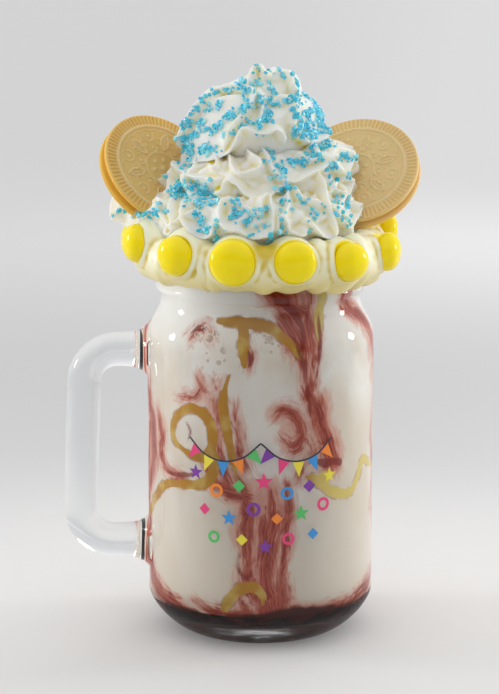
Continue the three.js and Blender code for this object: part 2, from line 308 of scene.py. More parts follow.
def outside_outline():
    bead = rounded_outline((BEAD_RADIUS - BEAD_OUT, BEAD_Z), BEAD_HALF, BEAD_OUT)
    return (
        heel_outline()
        + shoulder_outline()
        + [(NECK_RADIUS, BEAD_Z - BEAD_HALF - 0.2)]
        + bead[1:-1]
        + [(LIP_RADIUS, BEAD_Z + 2.6), (LIP_RADIUS, JAR_HEIGHT - 1)]
    )


def inside_outline():
    """The inside of the jar, from the middle of its floor up to its lip."""
    body = BODY_RADIUS - WALL
    wide, high = FLOOR_CORNER
    turns = [math.pi / 2 * i / 8 for i in range(9)]
    corner = [(body - wide * (1 - math.sin(t)), FLOOR_Z + high * (1 - math.cos(t))) for t in turns]
    top = (NECK_RADIUS - WALL, JAR_HEIGHT - 1)
    return [(0, FLOOR_Z), (12, FLOOR_Z), *corner, *shoulder_outline(WALL), top]


def smooth_path(points, steps):
    """Rows along a smooth curve through the given ones, with steps rows for each stretch of it."""
    places = [np.array(p, float) for p in points]
    places = [2 * places[0] - places[1], *places, 2 * places[-1] - places[-2]]
    made = []
    for i in range(len(points) - 1):
        a, b, c, d = places[i : i + 4]
        square, cube = 2 * a - 5 * b + 4 * c - d, 3 * b - a - 3 * c + d
        for t in [j / steps for j in range(steps)]:
            made.append(0.5 * (2 * b + (c - a) * t + square * t**2 + cube * t**3))
    return np.array([*made, places[-2]])


def handle_line():
    """The middle of the handle's rod from root to root, with a round corner at the top and at the bottom."""
    def corner(middle_x, z, turns):
        radius = HANDLE_CORNER
        side = 1 if z > 60 else -1
        centre = (middle_x + radius, z - side * radius)
        return [(centre[0] - radius * math.sin(t), centre[1] + side * radius * math.cos(t)) for t in turns]

    turns = [math.pi / 2 * i / 10 for i in range(11)]
    root = ROOT_SUNK - BODY_RADIUS
    upper, lower = [
        [(root + (middle_x + HANDLE_CORNER - root) * i / 8, z) for i in range(8)] + corner(middle_x, z, turns)
        for middle_x, z in ((HANDLE_UPPER_X, HANDLE_TOP_Z), (HANDLE_LOWER_X, HANDLE_BOTTOM_Z))
    ]
    shares = [i / 14 for i in range(1, 14)]
    between = [tuple((1 - t) * a + t * b for a, b in zip(upper[-1], lower[-1])) for t in shares]
    return upper + between + lower[::-1]


def handle():
    """An oval rod that is pushed out of a circle along the handle's line and widens at both roots."""
    bm = bmesh.new()
    line = [Vector((x, 0, z)) * MM for x, z in handle_line()]
    made = bmesh.ops.create_circle(bm, cap_ends=False, segments=32, radius=1)
    loop = made["verts"]
    edges = list({e for v in loop for e in v.link_edges})
    ring = [v.co.copy() for v in loop]
    count = len(line)
    for i, middle in enumerate(line):
        if i:
            pushed = bmesh.ops.extrude_edge_only(bm, edges=edges)["geom"]
            loop = [v for v in pushed if isinstance(v, bmesh.types.BMVert)]
            edges = [e for e in pushed if isinstance(e, bmesh.types.BMEdge)]
        ahead = (line[min(i + 1, count - 1)] - line[max(i - 1, 0)]).normalized()
        out = Vector((0, 1, 0)).cross(ahead)
        reach = min((middle - line[0]).length, (middle - line[-1]).length) / MM
        wide = 1
        for more, length in ROOT_FLARES:
            wide += more * max(0, 1 - reach / length) ** 2
        for vert, start in zip(loop, ring):
            across = start.x * HANDLE_ACROSS / 2 * wide * MM
            deep = start.y * HANDLE_DEPTH / 2 * wide * MM
            vert.co = middle + out * across + Vector((0, deep, 0))
    bmesh.ops.holes_fill(bm, edges=bm.edges, sides=0)
    bmesh.ops.recalc_face_normals(bm, faces=bm.faces)
    return bm


def finished(piece):
    """Turns the piece's modifiers into its mesh."""
    seen = piece.evaluated_get(bpy.context.evaluated_depsgraph_get())
    mesh = bpy.data.meshes.new_from_object(seen)
    piece.modifiers.clear()
    old, piece.data = piece.data, mesh
    mesh.name = piece.name
    bpy.data.meshes.remove(old)
    return piece


def clear_glass():
    """Clear glass with faint ripples from the mould, which lets the lamps light what it holds. Light that has
    passed through it many times goes straight on, so that the thick handle doesn't turn black inside."""
    finish, tree, shader = new_finish(
        "jar_glass", Base_Color=GLASS_COLOUR, Roughness=0.03, IOR=1.5, Transmission_Weight=1.0,
        Specular_IOR_Level=0.2
    )
    bumped(tree, shader, grain(tree, 22, detail=1.0, stretch=(1, 1, 0.5)), 0.25, 0.35)
    # Towards the bottom of the heel, half of the glass is refraction alone and mirrors nothing: painted shade
    # over its reflection of the table, where the heel rests in its own shade.
    bare = add_node(tree, "BsdfRefraction", {"Color": GLASS_COLOUR, "Roughness": 0.03, "IOR": 1.5})
    heel = times(tree, stepped(tree, along(tree, "Z"), 0.020, 0.012), 0.5)
    body = add_node(tree, "MixShader", {0: heel, 1: shader.outputs[0], 2: bare.outputs[0]})
    clear = add_node(tree, "BsdfTransparent", {"Color": GLASS_SHADE})
    path = add_node(tree, "LightPath").outputs
    straight = sums(tree, "MAXIMUM", path["Is Shadow Ray"], stepped(tree, path["Transmission Depth"], 5, 7))
    out = tree.nodes["Material Output"]
    glass = add_node(tree, "MixShader", {0: straight, 1: body.outputs[0], 2: clear.outputs[0]})
    tree.links.new(glass.outputs[0], out.inputs["Surface"])
    return finish


groove = [(0, 0), (17, 0), (17.8, 0.8), (20.2, 0.8), (21, 0)]
lip = [(LIP_RADIUS - 0.3, JAR_HEIGHT - 0.3), (LIP_RADIUS - 1, JAR_HEIGHT)]
lip += [(NECK_RADIUS - WALL + 0.6, JAR_HEIGHT)]
jar_glass = clear_glass()
jar = add_piece("jar_mug", turned(groove + outside_outline() + lip + inside_outline()[::-1], 144), jar_glass)
rod = add_piece("handle_rod", handle(), jar_glass)
core = BODY_RADIUS - WALL / 2 - 0.1
hollow_core = add_piece("hollow_core", turned([(0, 20), (core, 20), (core, 112), (0, 112)], 144), None)
for cutter, operation, target in ((hollow_core, "DIFFERENCE", rod), (rod, "UNION", jar)):
    cut = target.modifiers.new("cut", "BOOLEAN")
    cut.operation, cut.object, cut.solver = operation, cutter, "EXACT"
    finished(target)
for scrap in (rod, hollow_core):
    bpy.data.objects.remove(scrap)
jar.data.shade_smooth()
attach(jar, "root")
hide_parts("jar")


# The drink is a thick vanilla shake, poured over a jar that was streaked inside with caramel and with berry
# sauce. It wets the glass, so it reaches a hair into the wall, and the streaks show against the glass.
WET = 0.12
SAUCE_TOP_Z = 12.2
DRINK_TOP_Z = 134
SHAKE_COLOUR = (0.71, 0.635, 0.535, 1)
SHAKE_PALE = (0.80, 0.795, 0.755, 1)
SHAKE_NECK_LIGHT = (0.90, 0.885, 0.85, 1)
CARAMEL = (0.47, 0.22, 0.004, 1)
CARAMEL_THIN = (0.72, 0.60, 0.17, 1)
BERRY = (0.22, 0.010, 0.003, 1)
BERRY_SMEAR = (0.45, 0.072, 0.034, 1)
BERRY_THIN = (0.68, 0.37, 0.29, 1)
SAUCE_DARK = (0.008, 0.002, 0.002, 1)
SAUCE_RED = (0.060, 0.008, 0.006, 1)
FOAM_PALE = (0.82, 0.77, 0.70, 1)
FOAM_DARK = (0.36, 0.26, 0.19, 1)
# Each streak runs through points of (angle from the front, height, half width).
CARAMEL_STREAKS = [
    [(-25, 115, 0.8), (-19, 115.2, 1.5), (-8, 115, 1.9), (3, 113.6, 2.0), (11, 110.6, 1.7), (17, 107, 1.5),
     (21.5, 103.6, 1.0)],
    [(-9.5, 113, 2.2), (-9, 107, 2.0), (-8.6, 103, 1.6), (-8.2, 100.6, 0.6)],
    [(-38, 85.4, 1.6), (-30, 83.4, 1.9), (-25.5, 77.5, 2.0), (-26.8, 71.4, 1.9), (-33, 68.2, 1.6),
     (-42, 69.6, 1.0), (-50, 72.6, 1.2), (-52, 77.2, 1.6), (-46, 83.0, 1.4), (-38, 85.4, 1.6)],
    [(-16.3, 98, 0.5), (-18.6, 93, 1.2), (-19.6, 87, 1.8), (-18.4, 81, 1.9), (-16, 74, 1.6),
     (-13.5, 66, 0.9), (-12.4, 62, 0.3)],
    [(-84, 41, 1.2), (-72, 48.6, 1.9), (-60, 55.4, 1.5), (-48, 57.4, 1.3), (-36, 58.4, 1.8),
     (-28, 60.6, 2.3), (-24.6, 65, 2.0), (-24.5, 70, 1.5)],
    [(24, 61.8, 0.6), (28.5, 61.0, 1.9), (35, 59.2, 2.2), (34, 61.6, 1.8), (41, 62, 0.7)],
    [(31, 59.6, 0.9), (38, 56.4, 1.7), (46, 54.4, 1.9), (54, 54.2, 1.6), (60, 57.8, 1.4), (64, 62.6, 1.7),
     (69, 63.9, 1.6), (74, 61.6, 1.2), (82, 59, 0.8)],
    [(40, 127, 2.0), (37.5, 121, 2.1), (35, 115.5, 1.9), (32.8, 111.5, 1.3), (31.6, 108.6, 0.5)],
    [(-19.5, 15.6, 1.6), (-15.6, 20, 2.0), (-10, 23.4, 2.2), (-3.5, 24.0, 2.0), (0.8, 21.2, 1.5),
     (1.2, 18, 0.6)],
]
BERRY_STREAKS = [
    [(-2, 124.5, 1.0), (6, 123.5, 3.0), (15, 121.5, 4.2), (24, 119, 4.0)],
    [(10, 120, 2.0), (16, 114, 4.6), (20, 108, 5.0), (22, 102, 3.0), (23, 96, 1.6), (24, 90, 1.4)],
    [(30, 123, 1.5), (28.5, 116, 3.0), (27, 109, 3.4), (27.5, 101, 2.0), (26, 93, 2.6)],
    [(23, 97, 1.4), (26, 90, 3.4), (30, 84, 4.2), (33, 78, 3.6), (37, 72, 3.8), (40, 66, 4.0),
     (41, 64, 2.2)],
    [(6, 83, 1.0), (12, 86, 2.4), (19, 83.4, 3.0), (22, 77, 2.8), (17, 73.4, 2.6), (12, 76, 1.6)],
    [(24, 76, 1.6), (27, 70, 1.8), (22, 65, 1.4), (19, 60, 0.8)],
    [(-13, 64, 1.0), (-9, 58, 2.6), (-7, 50, 3.0), (-8, 42, 3.0), (-6, 34, 2.8), (-7, 27, 3.6),
     (-2, 20, 4.0)],
    [(5, 58, 1.6), (6, 50, 3.6), (4, 42, 4.4), (3, 34, 4.2), (3, 27, 4.2), (4, 20, 5.4), (6, 13.5, 8)],
    [(13, 60, 1.2), (14.5, 52, 2.6), (12, 44, 2.8), (12.5, 36, 2.2), (10, 28, 2.4), (12, 19, 3.4)],
    [(-3, 22, 1.0), (-6, 26, 1.4), (-10, 24, 1.4), (-11, 19, 1.6), (-7, 14.8, 3.0)],
    [(-38, 17, 0.6), (-30, 14, 2.6), (-18, 13, 3.2), (-6, 13, 3.5)],
    [(-92, 96, 1.0), (-84, 86, 3.6), (-76, 76, 4.2), (-72, 66, 4.2), (-78, 56, 3.6), (-88, 46, 2.0)],
    [(-66, 82, 0.8), (-62, 74, 2.4), (-63, 66, 2.6), (-56, 61, 1.8), (-46, 60, 1.2)],
    [(-48, 88, 0.5), (-42, 88.6, 1.4), (-36, 89.4, 1.6), (-32, 93, 0.7)],
    [(-23, 96, 0.8), (-24.5, 88, 1.2), (-22, 80, 1.0), (-22, 72, 1.8), (-20, 65, 2.4), (-16, 60, 2.0)],
    [(-13.4, 88, 0.6), (-13, 80, 1.3), (-10.6, 72, 1.6), (-8, 66, 1.4)],
    [(-30, 66, 0.8), (-24, 60.6, 2.4), (-16, 57.6, 3.4), (-8, 56, 3.0)],
    [(-40, 109, 0.8), (-36, 111.6, 1.6), (-31, 112.4, 1.4), (-27, 109, 0.8)],
    [(-34, 96, 0.7), (-31, 93, 1.5), (-27, 91.6, 0.9)],
    [(-7, 107, 0.8), (-5.2, 104, 1.3), (-5.6, 100.6, 0.7)],
    [(-94, 40, 2.0), (-86, 28, 4.6), (-76, 20, 5.2), (-60, 14, 4.0), (-44, 12, 2.6)],
    [(54, 125, 2.0), (62, 118, 3.6), (74, 112, 3.8), (82, 104, 4.2), (88, 94, 3.0), (90, 84, 2.0)],
    [(84, 82, 1.2), (80, 70, 1.6), (84, 58, 1.4), (80, 44, 1.2)],
    [(100, 72, 2.0), (94, 52, 2.6), (96, 34, 2.8), (84, 20, 3.6), (60, 14, 3.2), (40, 12.6, 3.0)],
]
BERRY_WASHES = [
    [(0, 61, 4), (0, 55, 9), (0, 47, 11.5), (1, 38, 10.5), (1, 29, 8), (4, 20, 8), (6, 14, 10)],
    [(18, 126, 9), (24, 120, 9.5), (25, 112, 7), (25, 104, 3.2), (26, 95, 3), (30, 86, 5.5), (33, 76, 7),
     (38, 68, 6)],
    [(-86, 95, 3), (-80, 84, 6), (-78, 74, 7), (-80, 62, 6), (-86, 52, 4)],
    [(-88, 32, 4), (-80, 22, 6), (-66, 15, 5), (-50, 12, 4)],
    [(9, 83, 2.5), (17, 82, 5), (20, 76, 5), (15, 71.5, 3)],
    [(-34, 97, 2.5), (-28, 91, 3), (-24, 82, 2.5), (-22, 68, 4), (-13, 60, 5)],
    [(56, 122, 4), (72, 112, 5), (82, 100, 5), (88, 86, 4)],
]
BERRY_LINES = [
    [(3, 124.5, 0.6), (10, 123.5, 1.4), (16, 121, 1.8), (21, 117, 1.8), (23, 112, 1.2), (22, 107, 0.6)],
    [(17, 110, 0.4), (20.5, 104.5, 0.8), (22.6, 100, 0.75), (23.4, 94, 0.6), (25.4, 88, 0.7),
     (26, 83, 0.4)],
    [(36, 118, 0.4), (32.5, 109, 0.8), (30.5, 100, 0.5), (29, 93, 0.3)],
    [(30, 67, 0.9), (36, 66.0, 1.7), (40, 66.4, 1.2), (45, 65.6, 1.3)],
    [(-58, 60.5, 0.3), (-44, 61.0, 0.7), (-34, 62.6, 0.5)],
    [(-6.2, 106, 0.5), (-5.0, 103.6, 1.1), (-5.4, 101.4, 0.6)],
    [(-40, 110.4, 0.4), (-36, 112.2, 0.9), (-31, 112.0, 0.5)],
    [(-41, 73, 0.3), (-39, 77, 0.7), (-42, 80, 0.4)],
    [(-11.6, 36, 0.3), (-11.4, 30, 0.8), (-7, 27, 0.7), (-4.6, 30, 0.5)],
]
FOAM_PATCHES = [
    [(-37, 112, 3), (-33, 110, 5), (-28, 106, 6.5), (-24, 101, 5), (-21, 97, 2.5)],
    [(-4, 110, 1.5), (2, 109.5, 3), (8, 106.5, 2.5), (12, 103, 1.5)],
]
# The depth of a point that no streak is near, and how much further on each streak's grain starts.
NO_STREAK = -12.0
NEXT_GRAIN = 37.0
# The sauce reaches up the wall to this height, give or take waves: height of a wave, waves round, and shift.
POOL_TOP = 14.6
POOL_WAVES = [(1.6, 2, 40), (1.0, 5, 0)]
# Sizes of bubbles in the foam: how far apart, and the least and most of a cell that one fills.
BUBBLES = [(4.8, 0.24, 0.48), (2.1, 0.22, 0.42)]


def turned_back(streaks):
    """The same streaks for the back of the jar, turned half round, and shifted up a little."""
    return [[(turn + 180, min(height + 3, 128), half) for turn, height, half in streak] for streak in streaks]


def streaked(streaks, angles, heights):
    """What the nearest streak is to each point on the drink, in millimetres: how far inside it the point lies,
    negative outside, how far to its side, and how far along it."""
    depth = np.full(len(angles), NO_STREAK)
    side, run = np.zeros(len(angles)), np.zeros(len(angles))
    for number, streak in enumerate(streaks + turned_back(streaks)):
        line = smooth_path(streak, 6)
        passed = NEXT_GRAIN * number
        for (a0, z0, h0), (a1, z1, h1) in zip(line, line[1:]):
            dx = ((angles - a0 + 180) % 360 - 180) * math.radians(1) * BODY_RADIUS
            dz = heights - z0
            ux, uz = (a1 - a0) * math.radians(1) * BODY_RADIUS, z1 - z0
            length = math.hypot(ux, uz) + 1e-9
            t = np.clip((dx * ux + dz * uz) / length**2, 0, 1)
            inside = h0 + (h1 - h0) * t - np.hypot(dx - t * ux, dz - t * uz)
            nearer = inside > depth
            depth = np.where(nearer, inside, depth)
            side = np.where(nearer, (dx * uz - dz * ux) / length, side)
            run = np.where(nearer, passed + (dx * ux + dz * uz) / length, run)
            passed += length
    return depth, side, run


def add_numbers(mesh, name, values):
    """Stores one number for each vertex, which the materials read."""
    mesh.attributes.new(name, "FLOAT", "POINT").data.foreach_set("value", np.asarray(values, np.float32))


def points_of(mesh):
    places = np.empty(len(mesh.vertices) * 3, np.float32)
    mesh.vertices.foreach_get("co", places)
    return places.reshape(-1, 3).astype(float)


def evenly(profile, step):
    """The profile with points added, so that none are further apart than step."""
    made = [profile[0]]
    for (r0, z0), (r1, z1) in zip(profile, profile[1:]):
        count = max(1, math.ceil(math.hypot(r1 - r0, z1 - z0) / step))
        made += [(r0 + (r1 - r0) * i / count, z0 + (z1 - z0) * i / count) for i in range(1, count + 1)]
    return made


def shake_outline():
    wall = [(radius + WET, height) for radius, height in inside_outline() if SAUCE_TOP_Z < height < DRINK_TOP_Z]
    edge = (wall[0][0] - 1.6, SAUCE_TOP_Z)
    side = evenly([edge, *wall, (wall[-1][0], DRINK_TOP_Z)], 0.9)
    return [(0, SAUCE_TOP_Z)] + side + [(0, DRINK_TOP_Z)]


def fibres(tree, name, width, length, detail=4.0, distortion=0.5):
    """Noise drawn out along the streaks of a kind, as a smear of sauce on glass is."""
    across = sums(tree, "DIVIDE", stored(tree, name + "_side"), width)
    down = sums(tree, "DIVIDE", stored(tree, name + "_run"), length)
    vector = add_node(tree, "CombineXYZ", {"X": across, "Y": down, "Z": 0.0}).outputs[0]
    inputs = {"Vector": vector, "Scale": 1.0, "Detail": detail, "Distortion": distortion}
    return add_node(tree, "TexNoise", inputs).outputs["Fac"]


def bubbles(tree, foam, size, least, most):
    """Rings and middles of bubbles of about size millimetres, where foam is above 0."""
    place = add_node(tree, "TexCoord").outputs["Object"]
    cells = add_node(tree, "TexVoronoi", {"Vector": place, "Scale": 1 / (size * MM), "Randomness": 0.9})
    own = add_node(tree, "SeparateColor", {0: cells.outputs["Color"]}).outputs["Red"]
    radius = plus(tree, times(tree, own, most - least), least)
    share = sums(tree, "DIVIDE", cells.outputs["Distance"], radius)
    there = stepped(tree, foam, -0.5, 1.5)
    ring = times(tree, stepped(tree, share, 0.62, 0.86), stepped(tree, share, 1.2, 0.98))
    return times(tree, ring, there), times(tree, stepped(tree, share, 1.0, 0.7), there)


def bare_shake(tree):
    """The colour of the drink alone: cloudy, darker low down, and painted pale in the neck as painted light
    where the frosting shades it.
    """
    height = along(tree, "Z")
    clouds = stepped(tree, grain(tree, 26, 3, (1, 1, 0.6), 0.6), 0.35, 0.68)
    clouds = times(tree, clouds, stepped(tree, height, 0.010, 0.075))
    colour = blended(tree, clouds, SHAKE_COLOUR, SHAKE_PALE)
    # Painted light: the neck is painted paler, where the frosting's shade would darken it.
    return laid(tree, colour, SHAKE_NECK_LIGHT, height, 0.100, 0.118)


def berry_over(tree, colour, coarse):
    """Lays the berry sauce over the drink: thin washes, torn streaks with dark veins, and the pool's edge."""
    torn = plus(tree, swing(tree, fibres(tree, "berry", 1.9, 10, 6, 1.6), 7.5), coarse)
    vein = fibres(tree, "berry", 1.0, 10, 5, 2.0)
    wash = plus(tree, stored(tree, "wash"), swing(tree, grain(tree, 5, 7, (1, 1, 0.6), 1.2), 16.0))
    pool = plus(tree, stored(tree, "pool"), times(tree, coarse, 0.8))
    streak = plus(tree, stored(tree, "berry"), torn)
    berry = sums(tree, "MAXIMUM", streak, times(tree, pool, 1.4))
    colour = laid(tree, colour, BERRY_THIN, wash, -1.5, 2.5, 0.7)
    colour = laid(tree, colour, BERRY_SMEAR, wash, 3.5, 7.5, 0.45)
    colour = laid(tree, colour, BERRY_THIN, berry, -3.0, 0.3, 0.7)
    colour = laid(tree, colour, BERRY_SMEAR, berry, -0.8, 2.2, 0.9)
    dark = times(tree, stepped(tree, berry, 0.2, 3.2), stepped(tree, vein, 0.42, 0.58))
    colour = blended(tree, times(tree, dark, 0.85), colour, BERRY)
    sunk = plus(tree, stored(tree, "pool"), times(tree, coarse, 0.5))
    return laid(tree, colour, SAUCE_RED, sunk, 0.2, 2.0)


def caramel_over(tree, colour, edge):
    """Lays the caramel over the drink, with a broken rim of berry sauce. It is thin at the right."""
    ribbon = plus(tree, stored(tree, "caramel"), edge)
    thin = times(tree, stepped(tree, grain(tree, 7, 2), 0.45, 0.7), 0.5)
    thin = sums(tree, "MAXIMUM", thin, stepped(tree, along(tree, "X"), 0.014, 0.020))
    broken = stepped(tree, grain(tree, 5, 2), 0.4, 0.6)
    rim = times(tree, stepped(tree, ribbon, -0.9, -0.2), broken)
    colour = blended(tree, times(tree, rim, 0.5), colour, BERRY)
    caramel = blended(tree, times(tree, thin, 0.9), CARAMEL, CARAMEL_THIN)
    return laid(tree, colour, caramel, ribbon, -0.25, 0.15, 0.97)


def shake_finish():
    finish, tree, shader = new_finish("streaked_shake", Roughness=0.6, Specular_IOR_Level=0.0)
    coarse = swing(tree, grain(tree, 6, 4, (1, 1, 0.5), 1.0), 5.0)
    edge = swing(tree, grain(tree, 5, 3), 1.8)
    colour = caramel_over(tree, berry_over(tree, bare_shake(tree), coarse), edge)
    frayed = plus(tree, times(tree, edge, 0.4), times(tree, coarse, 0.35))
    colour = laid(tree, colour, BERRY, plus(tree, stored(tree, "line"), frayed), -0.5, 0.5, 0.85)
    for size, least, most in BUBBLES:
        ring, middle = bubbles(tree, stored(tree, "foam"), size, least, most)
        colour = blended(tree, times(tree, middle, 0.5), colour, FOAM_DARK)
        colour = blended(tree, times(tree, ring, 0.65), colour, FOAM_PALE)
    tree.links.new(colour, shader.inputs["Base Color"])
    bumped(tree, shader, grain(tree, 2.2, 3), 0.12, 0.4)
    return finish


drink = add_piece("milkshake_fill", turned(shake_outline(), 288), shake_finish())
places = points_of(drink.data)
angles = np.degrees(np.arctan2(places[:, 0], -places[:, 1]))
heights = places[:, 2] / MM
for name, streaks in (("caramel", CARAMEL_STREAKS), ("berry", BERRY_STREAKS), ("wash", BERRY_WASHES),
                      ("line", BERRY_LINES), ("foam", FOAM_PATCHES)):
    depth, side, run = streaked(streaks, angles, heights)
    add_numbers(drink.data, name, depth)
    if name == "berry":
        add_numbers(drink.data, "berry_side", side)
        add_numbers(drink.data, "berry_run", run)
waves = sum(tall * np.sin(np.radians(angles * count + shift)) for tall, count, shift in POOL_WAVES)
add_numbers(drink.data, "pool", POOL_TOP + waves - heights)
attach(drink, "root")
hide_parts("milkshake")


# Dark berry sauce has sunk to the floor of the jar. It is nearly black where it is deep, with patches of deep
# red, and it wets the glass all round.
SAUCE_EDGE = 2.2
SAUCE_FLOOR_TOP = FLOOR_Z + 1.2


def sauce_finish(name, specular):
    finish, tree, shader = new_finish(name, Roughness=0.12, Specular_IOR_Level=specular)
    share = stepped(tree, grain(tree, 7, 4, (1, 1, 2), 1.0), 0.42, 0.7)
    tree.links.new(blended(tree, share, SAUCE_DARK, SAUCE_RED), shader.inputs["Base Color"])
    bumped(tree, shader, grain(tree, 5, 2), 0.2, 0.5)
    return finish


wall = [(radius + WET, height) for radius, height in inside_outline() if height < SAUCE_TOP_Z + SAUCE_EDGE]
wall = [(0, FLOOR_Z - WET), (12, FLOOR_Z - WET)] + [(r, z - WET * (z < FLOOR_Z + 1)) for r, z in wall[2:]]
pool = turned(wall + [(0, wall[-1][1])], 144)
sauce = add_piece("sauce_pool", pool, sauce_finish("dark_berry_sauce", 0.05))
sauce.data.materials.append(sauce_finish("sauce_floor", 1.0))
for face in sauce.data.polygons:
    face.material_index = int(face.center.z < SAUCE_FLOOR_TOP * MM)
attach(sauce, "root")
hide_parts("dark_sauce")


# The candies are round lentils of chocolate in a polished sugar shell, all of them yellow. Each is pressed
# into the frosting with its flat side out, and they differ a little in size and shape.
CANDY_YELLOW = (1.0, 0.81, 0.0, 1)
CANDY_DEEP = (0.97, 0.76, 0.0, 1)
CANDY_HALF = 5.0
CANDY_SWELL = 1.05
CANDY_UNEVEN = 0.05
candy_names = sorted(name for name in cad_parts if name.startswith("candy_"))


def candy_place(name):
    """The middle of a candy, its radius and the way it faces, from its CAD solid."""
    low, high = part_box(name)
    middle = (low + high) / 2
    return middle, (high.z - low.z) / 2, Vector((middle.x, middle.y, 0)).normalized()


def candy_finish():
    finish, tree, shader = new_finish("yellow_sugar_shell", Roughness=0.10, Specular_IOR_Level=0.35)
    share = stepped(tree, grain(tree, 5, 3), 0.3, 0.75)
    tree.links.new(blended(tree, share, CANDY_YELLOW, CANDY_DEEP), shader.inputs["Base Color"])
    bumped(tree, shader, grain(tree, 3.0, 2), 0.05, 0.25)
    return finish


shell = candy_finish()
for number, name in enumerate(candy_names):
    middle, radius, out = candy_place(name)
    bm = bmesh.new()
    bmesh.ops.create_uvsphere(bm, u_segments=40, v_segments=24, radius=1)
    wide = radius * CANDY_SWELL
    for vert in bm.verts:
        plump = 1 - 0.1 * abs(vert.co.z) ** 3
        vert.co = Vector((vert.co.x * wide, vert.co.y * wide, vert.co.z * CANDY_HALF * MM * plump))
        vert.co *= 1 + CANDY_UNEVEN * noise.noise(vert.co / (8 * MM) + Vector((number * 7.1, 0, 0)))
    turn = out.to_track_quat("Z", "Y").to_matrix().to_4x4()
    bmesh.ops.transform(bm, matrix=Matrix.Translation(middle) @ turn, verts=bm.verts)
    candy = add_piece(name + "_shell", bm, shell)
    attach(candy, "root")
    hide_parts(name)


# The frosting is soft vanilla buttercream, spooned round the outside of the lip. Every candy was pressed into
# its own dollop, so the ring bulges like petals, with creases between them and a scalloped lower edge.
FROSTING_MIDDLE = (39.2, 134.7)
FROSTING_HALF = (5.6, 7.9)
DOLLOP_HALF = (9.8, 6.4, 10.0)
DOLLOP_RADIUS = 38.6
FROSTING_COLOUR = (0.95, 0.925, 0.71, 1)
FROSTING_SHADE_YELLOW = (0.68, 0.52, 0.02, 1)
# Where deep gaps in the frosting get painted shade in dark yellow: angle, height and size.
SHADED_GAPS = [(2, 142, 4.4), (41, 130.5, 1.8)]
# Smaller dollops between the candies: angle, height, and half sizes across, outwards and up.
SMALL_DOLLOPS = [
    (-53, 133.5, 5.0, 7.0, 7.6),
    (-27.5, 134.5, 3.2, 6.8, 8.8),
    (-22.5, 134.0, 3.0, 7.0, 8.4),
    (1.5, 133.5, 6.5, 6.2, 8.0),
    (29, 134.5, 6.0, 6.6, 9.6),
    (55, 134.5, 5.6, 6.4, 10.0),
    (89, 132.5, 4.6, 5.4, 9.4),
    (120, 135, 5.5, 6.8, 9.2),
    (151, 134.5, 4.5, 7.0, 9.5),
    (183, 135, 5.0, 6.6, 9.0),
    (213, 134, 5.5, 6.8, 9.4),
    (243, 135, 4.5, 6.8, 9.0),
    (274, 136, 5.0, 6.8, 9.0),
]
FROSTING_VOXEL = 0.62
# A candy sinks a seat into the frosting and pushes up a collar round it. Places and widths are in radii of the
# candy, and heights in millimetres.
COLLAR_AT = 1.09
COLLAR_WIDE = 0.16
COLLAR_HIGH = 1.4
SEAT_WIDE = 0.85
SEAT_DEEP = 1.6
# The unevenness of the frosting: height and size.
FROSTING_ROUGH = [(0.5, 7), (0.2, 3)]


def dollop(bm, angle, radius, height, half):
    """Adds a soft round blob whose half sizes are across, outwards and up."""
    made = bmesh.ops.create_uvsphere(bm, u_segments=32, v_segments=20, radius=1)
    size = Matrix.Diagonal((half[0] * MM, half[1] * MM, half[2] * MM, 1))
    turn = Matrix.Rotation(math.radians(angle), 4, "Z")
    place = Matrix.Translation(around(angle, radius, height))
    bmesh.ops.transform(bm, matrix=place @ turn @ size, verts=made["verts"])


def remeshed(piece, voxel, rounds):
    """Joins what overlaps in the piece into one skin, and relaxes it."""
    remesh = piece.modifiers.new("skin", "REMESH")
    remesh.mode, remesh.voxel_size = "VOXEL", voxel * MM
    relax = piece.modifiers.new("relax", "SMOOTH")
    relax.factor, relax.iterations = 0.4, rounds
    finished(piece)
    piece.data.shade_smooth()
    return piece


def jar_radius(height):
    """Outside radius of the jar at a height, above its shoulder, in millimetres."""
    outline = [(r, z) for r, z in outside_outline() if z >= SHOULDER_Z]
    return np.interp(height, [z for _, z in outline], [r for r, _ in outline])


def neighbour_mean(mesh, values, rounds):
    """Spreads values, one row for each vertex, along the edges of the mesh."""
    pairs = np.empty(len(mesh.edges) * 2, np.int64)
    mesh.edges.foreach_get("vertices", pairs)
    one, other = pairs.reshape(-1, 2).T
    count = np.bincount(one, minlength=len(values)) + np.bincount(other, minlength=len(values))
    values = np.array(values, float).reshape(len(values), -1)
    for _ in range(rounds):
        total = np.zeros_like(values)
        for column in range(values.shape[1]):
            total[:, column] = np.bincount(one, values[other, column], len(values))
            total[:, column] += np.bincount(other, values[one, column], len(values))
        values = 0.3 * values + 0.7 * total / np.maximum(count, 1)[:, None]
    return values


def normals_of(mesh):
    normals = np.empty(len(mesh.vertices) * 3, np.float32)
    mesh.vertices.foreach_get("normal", normals)
    return normals.reshape(-1, 3).astype(float)


def fold_depth(mesh, rounds):
    """How deep each vertex lies in a fold, in millimetres. It is negative on a crest."""
    places = points_of(mesh)
    hollow = neighbour_mean(mesh, places, rounds) - places
    return (hollow * normals_of(mesh)).sum(1) / MM


def set_points(mesh, places):
    mesh.vertices.foreach_set("co", np.asarray(places, np.float32).ravel())
    mesh.update()


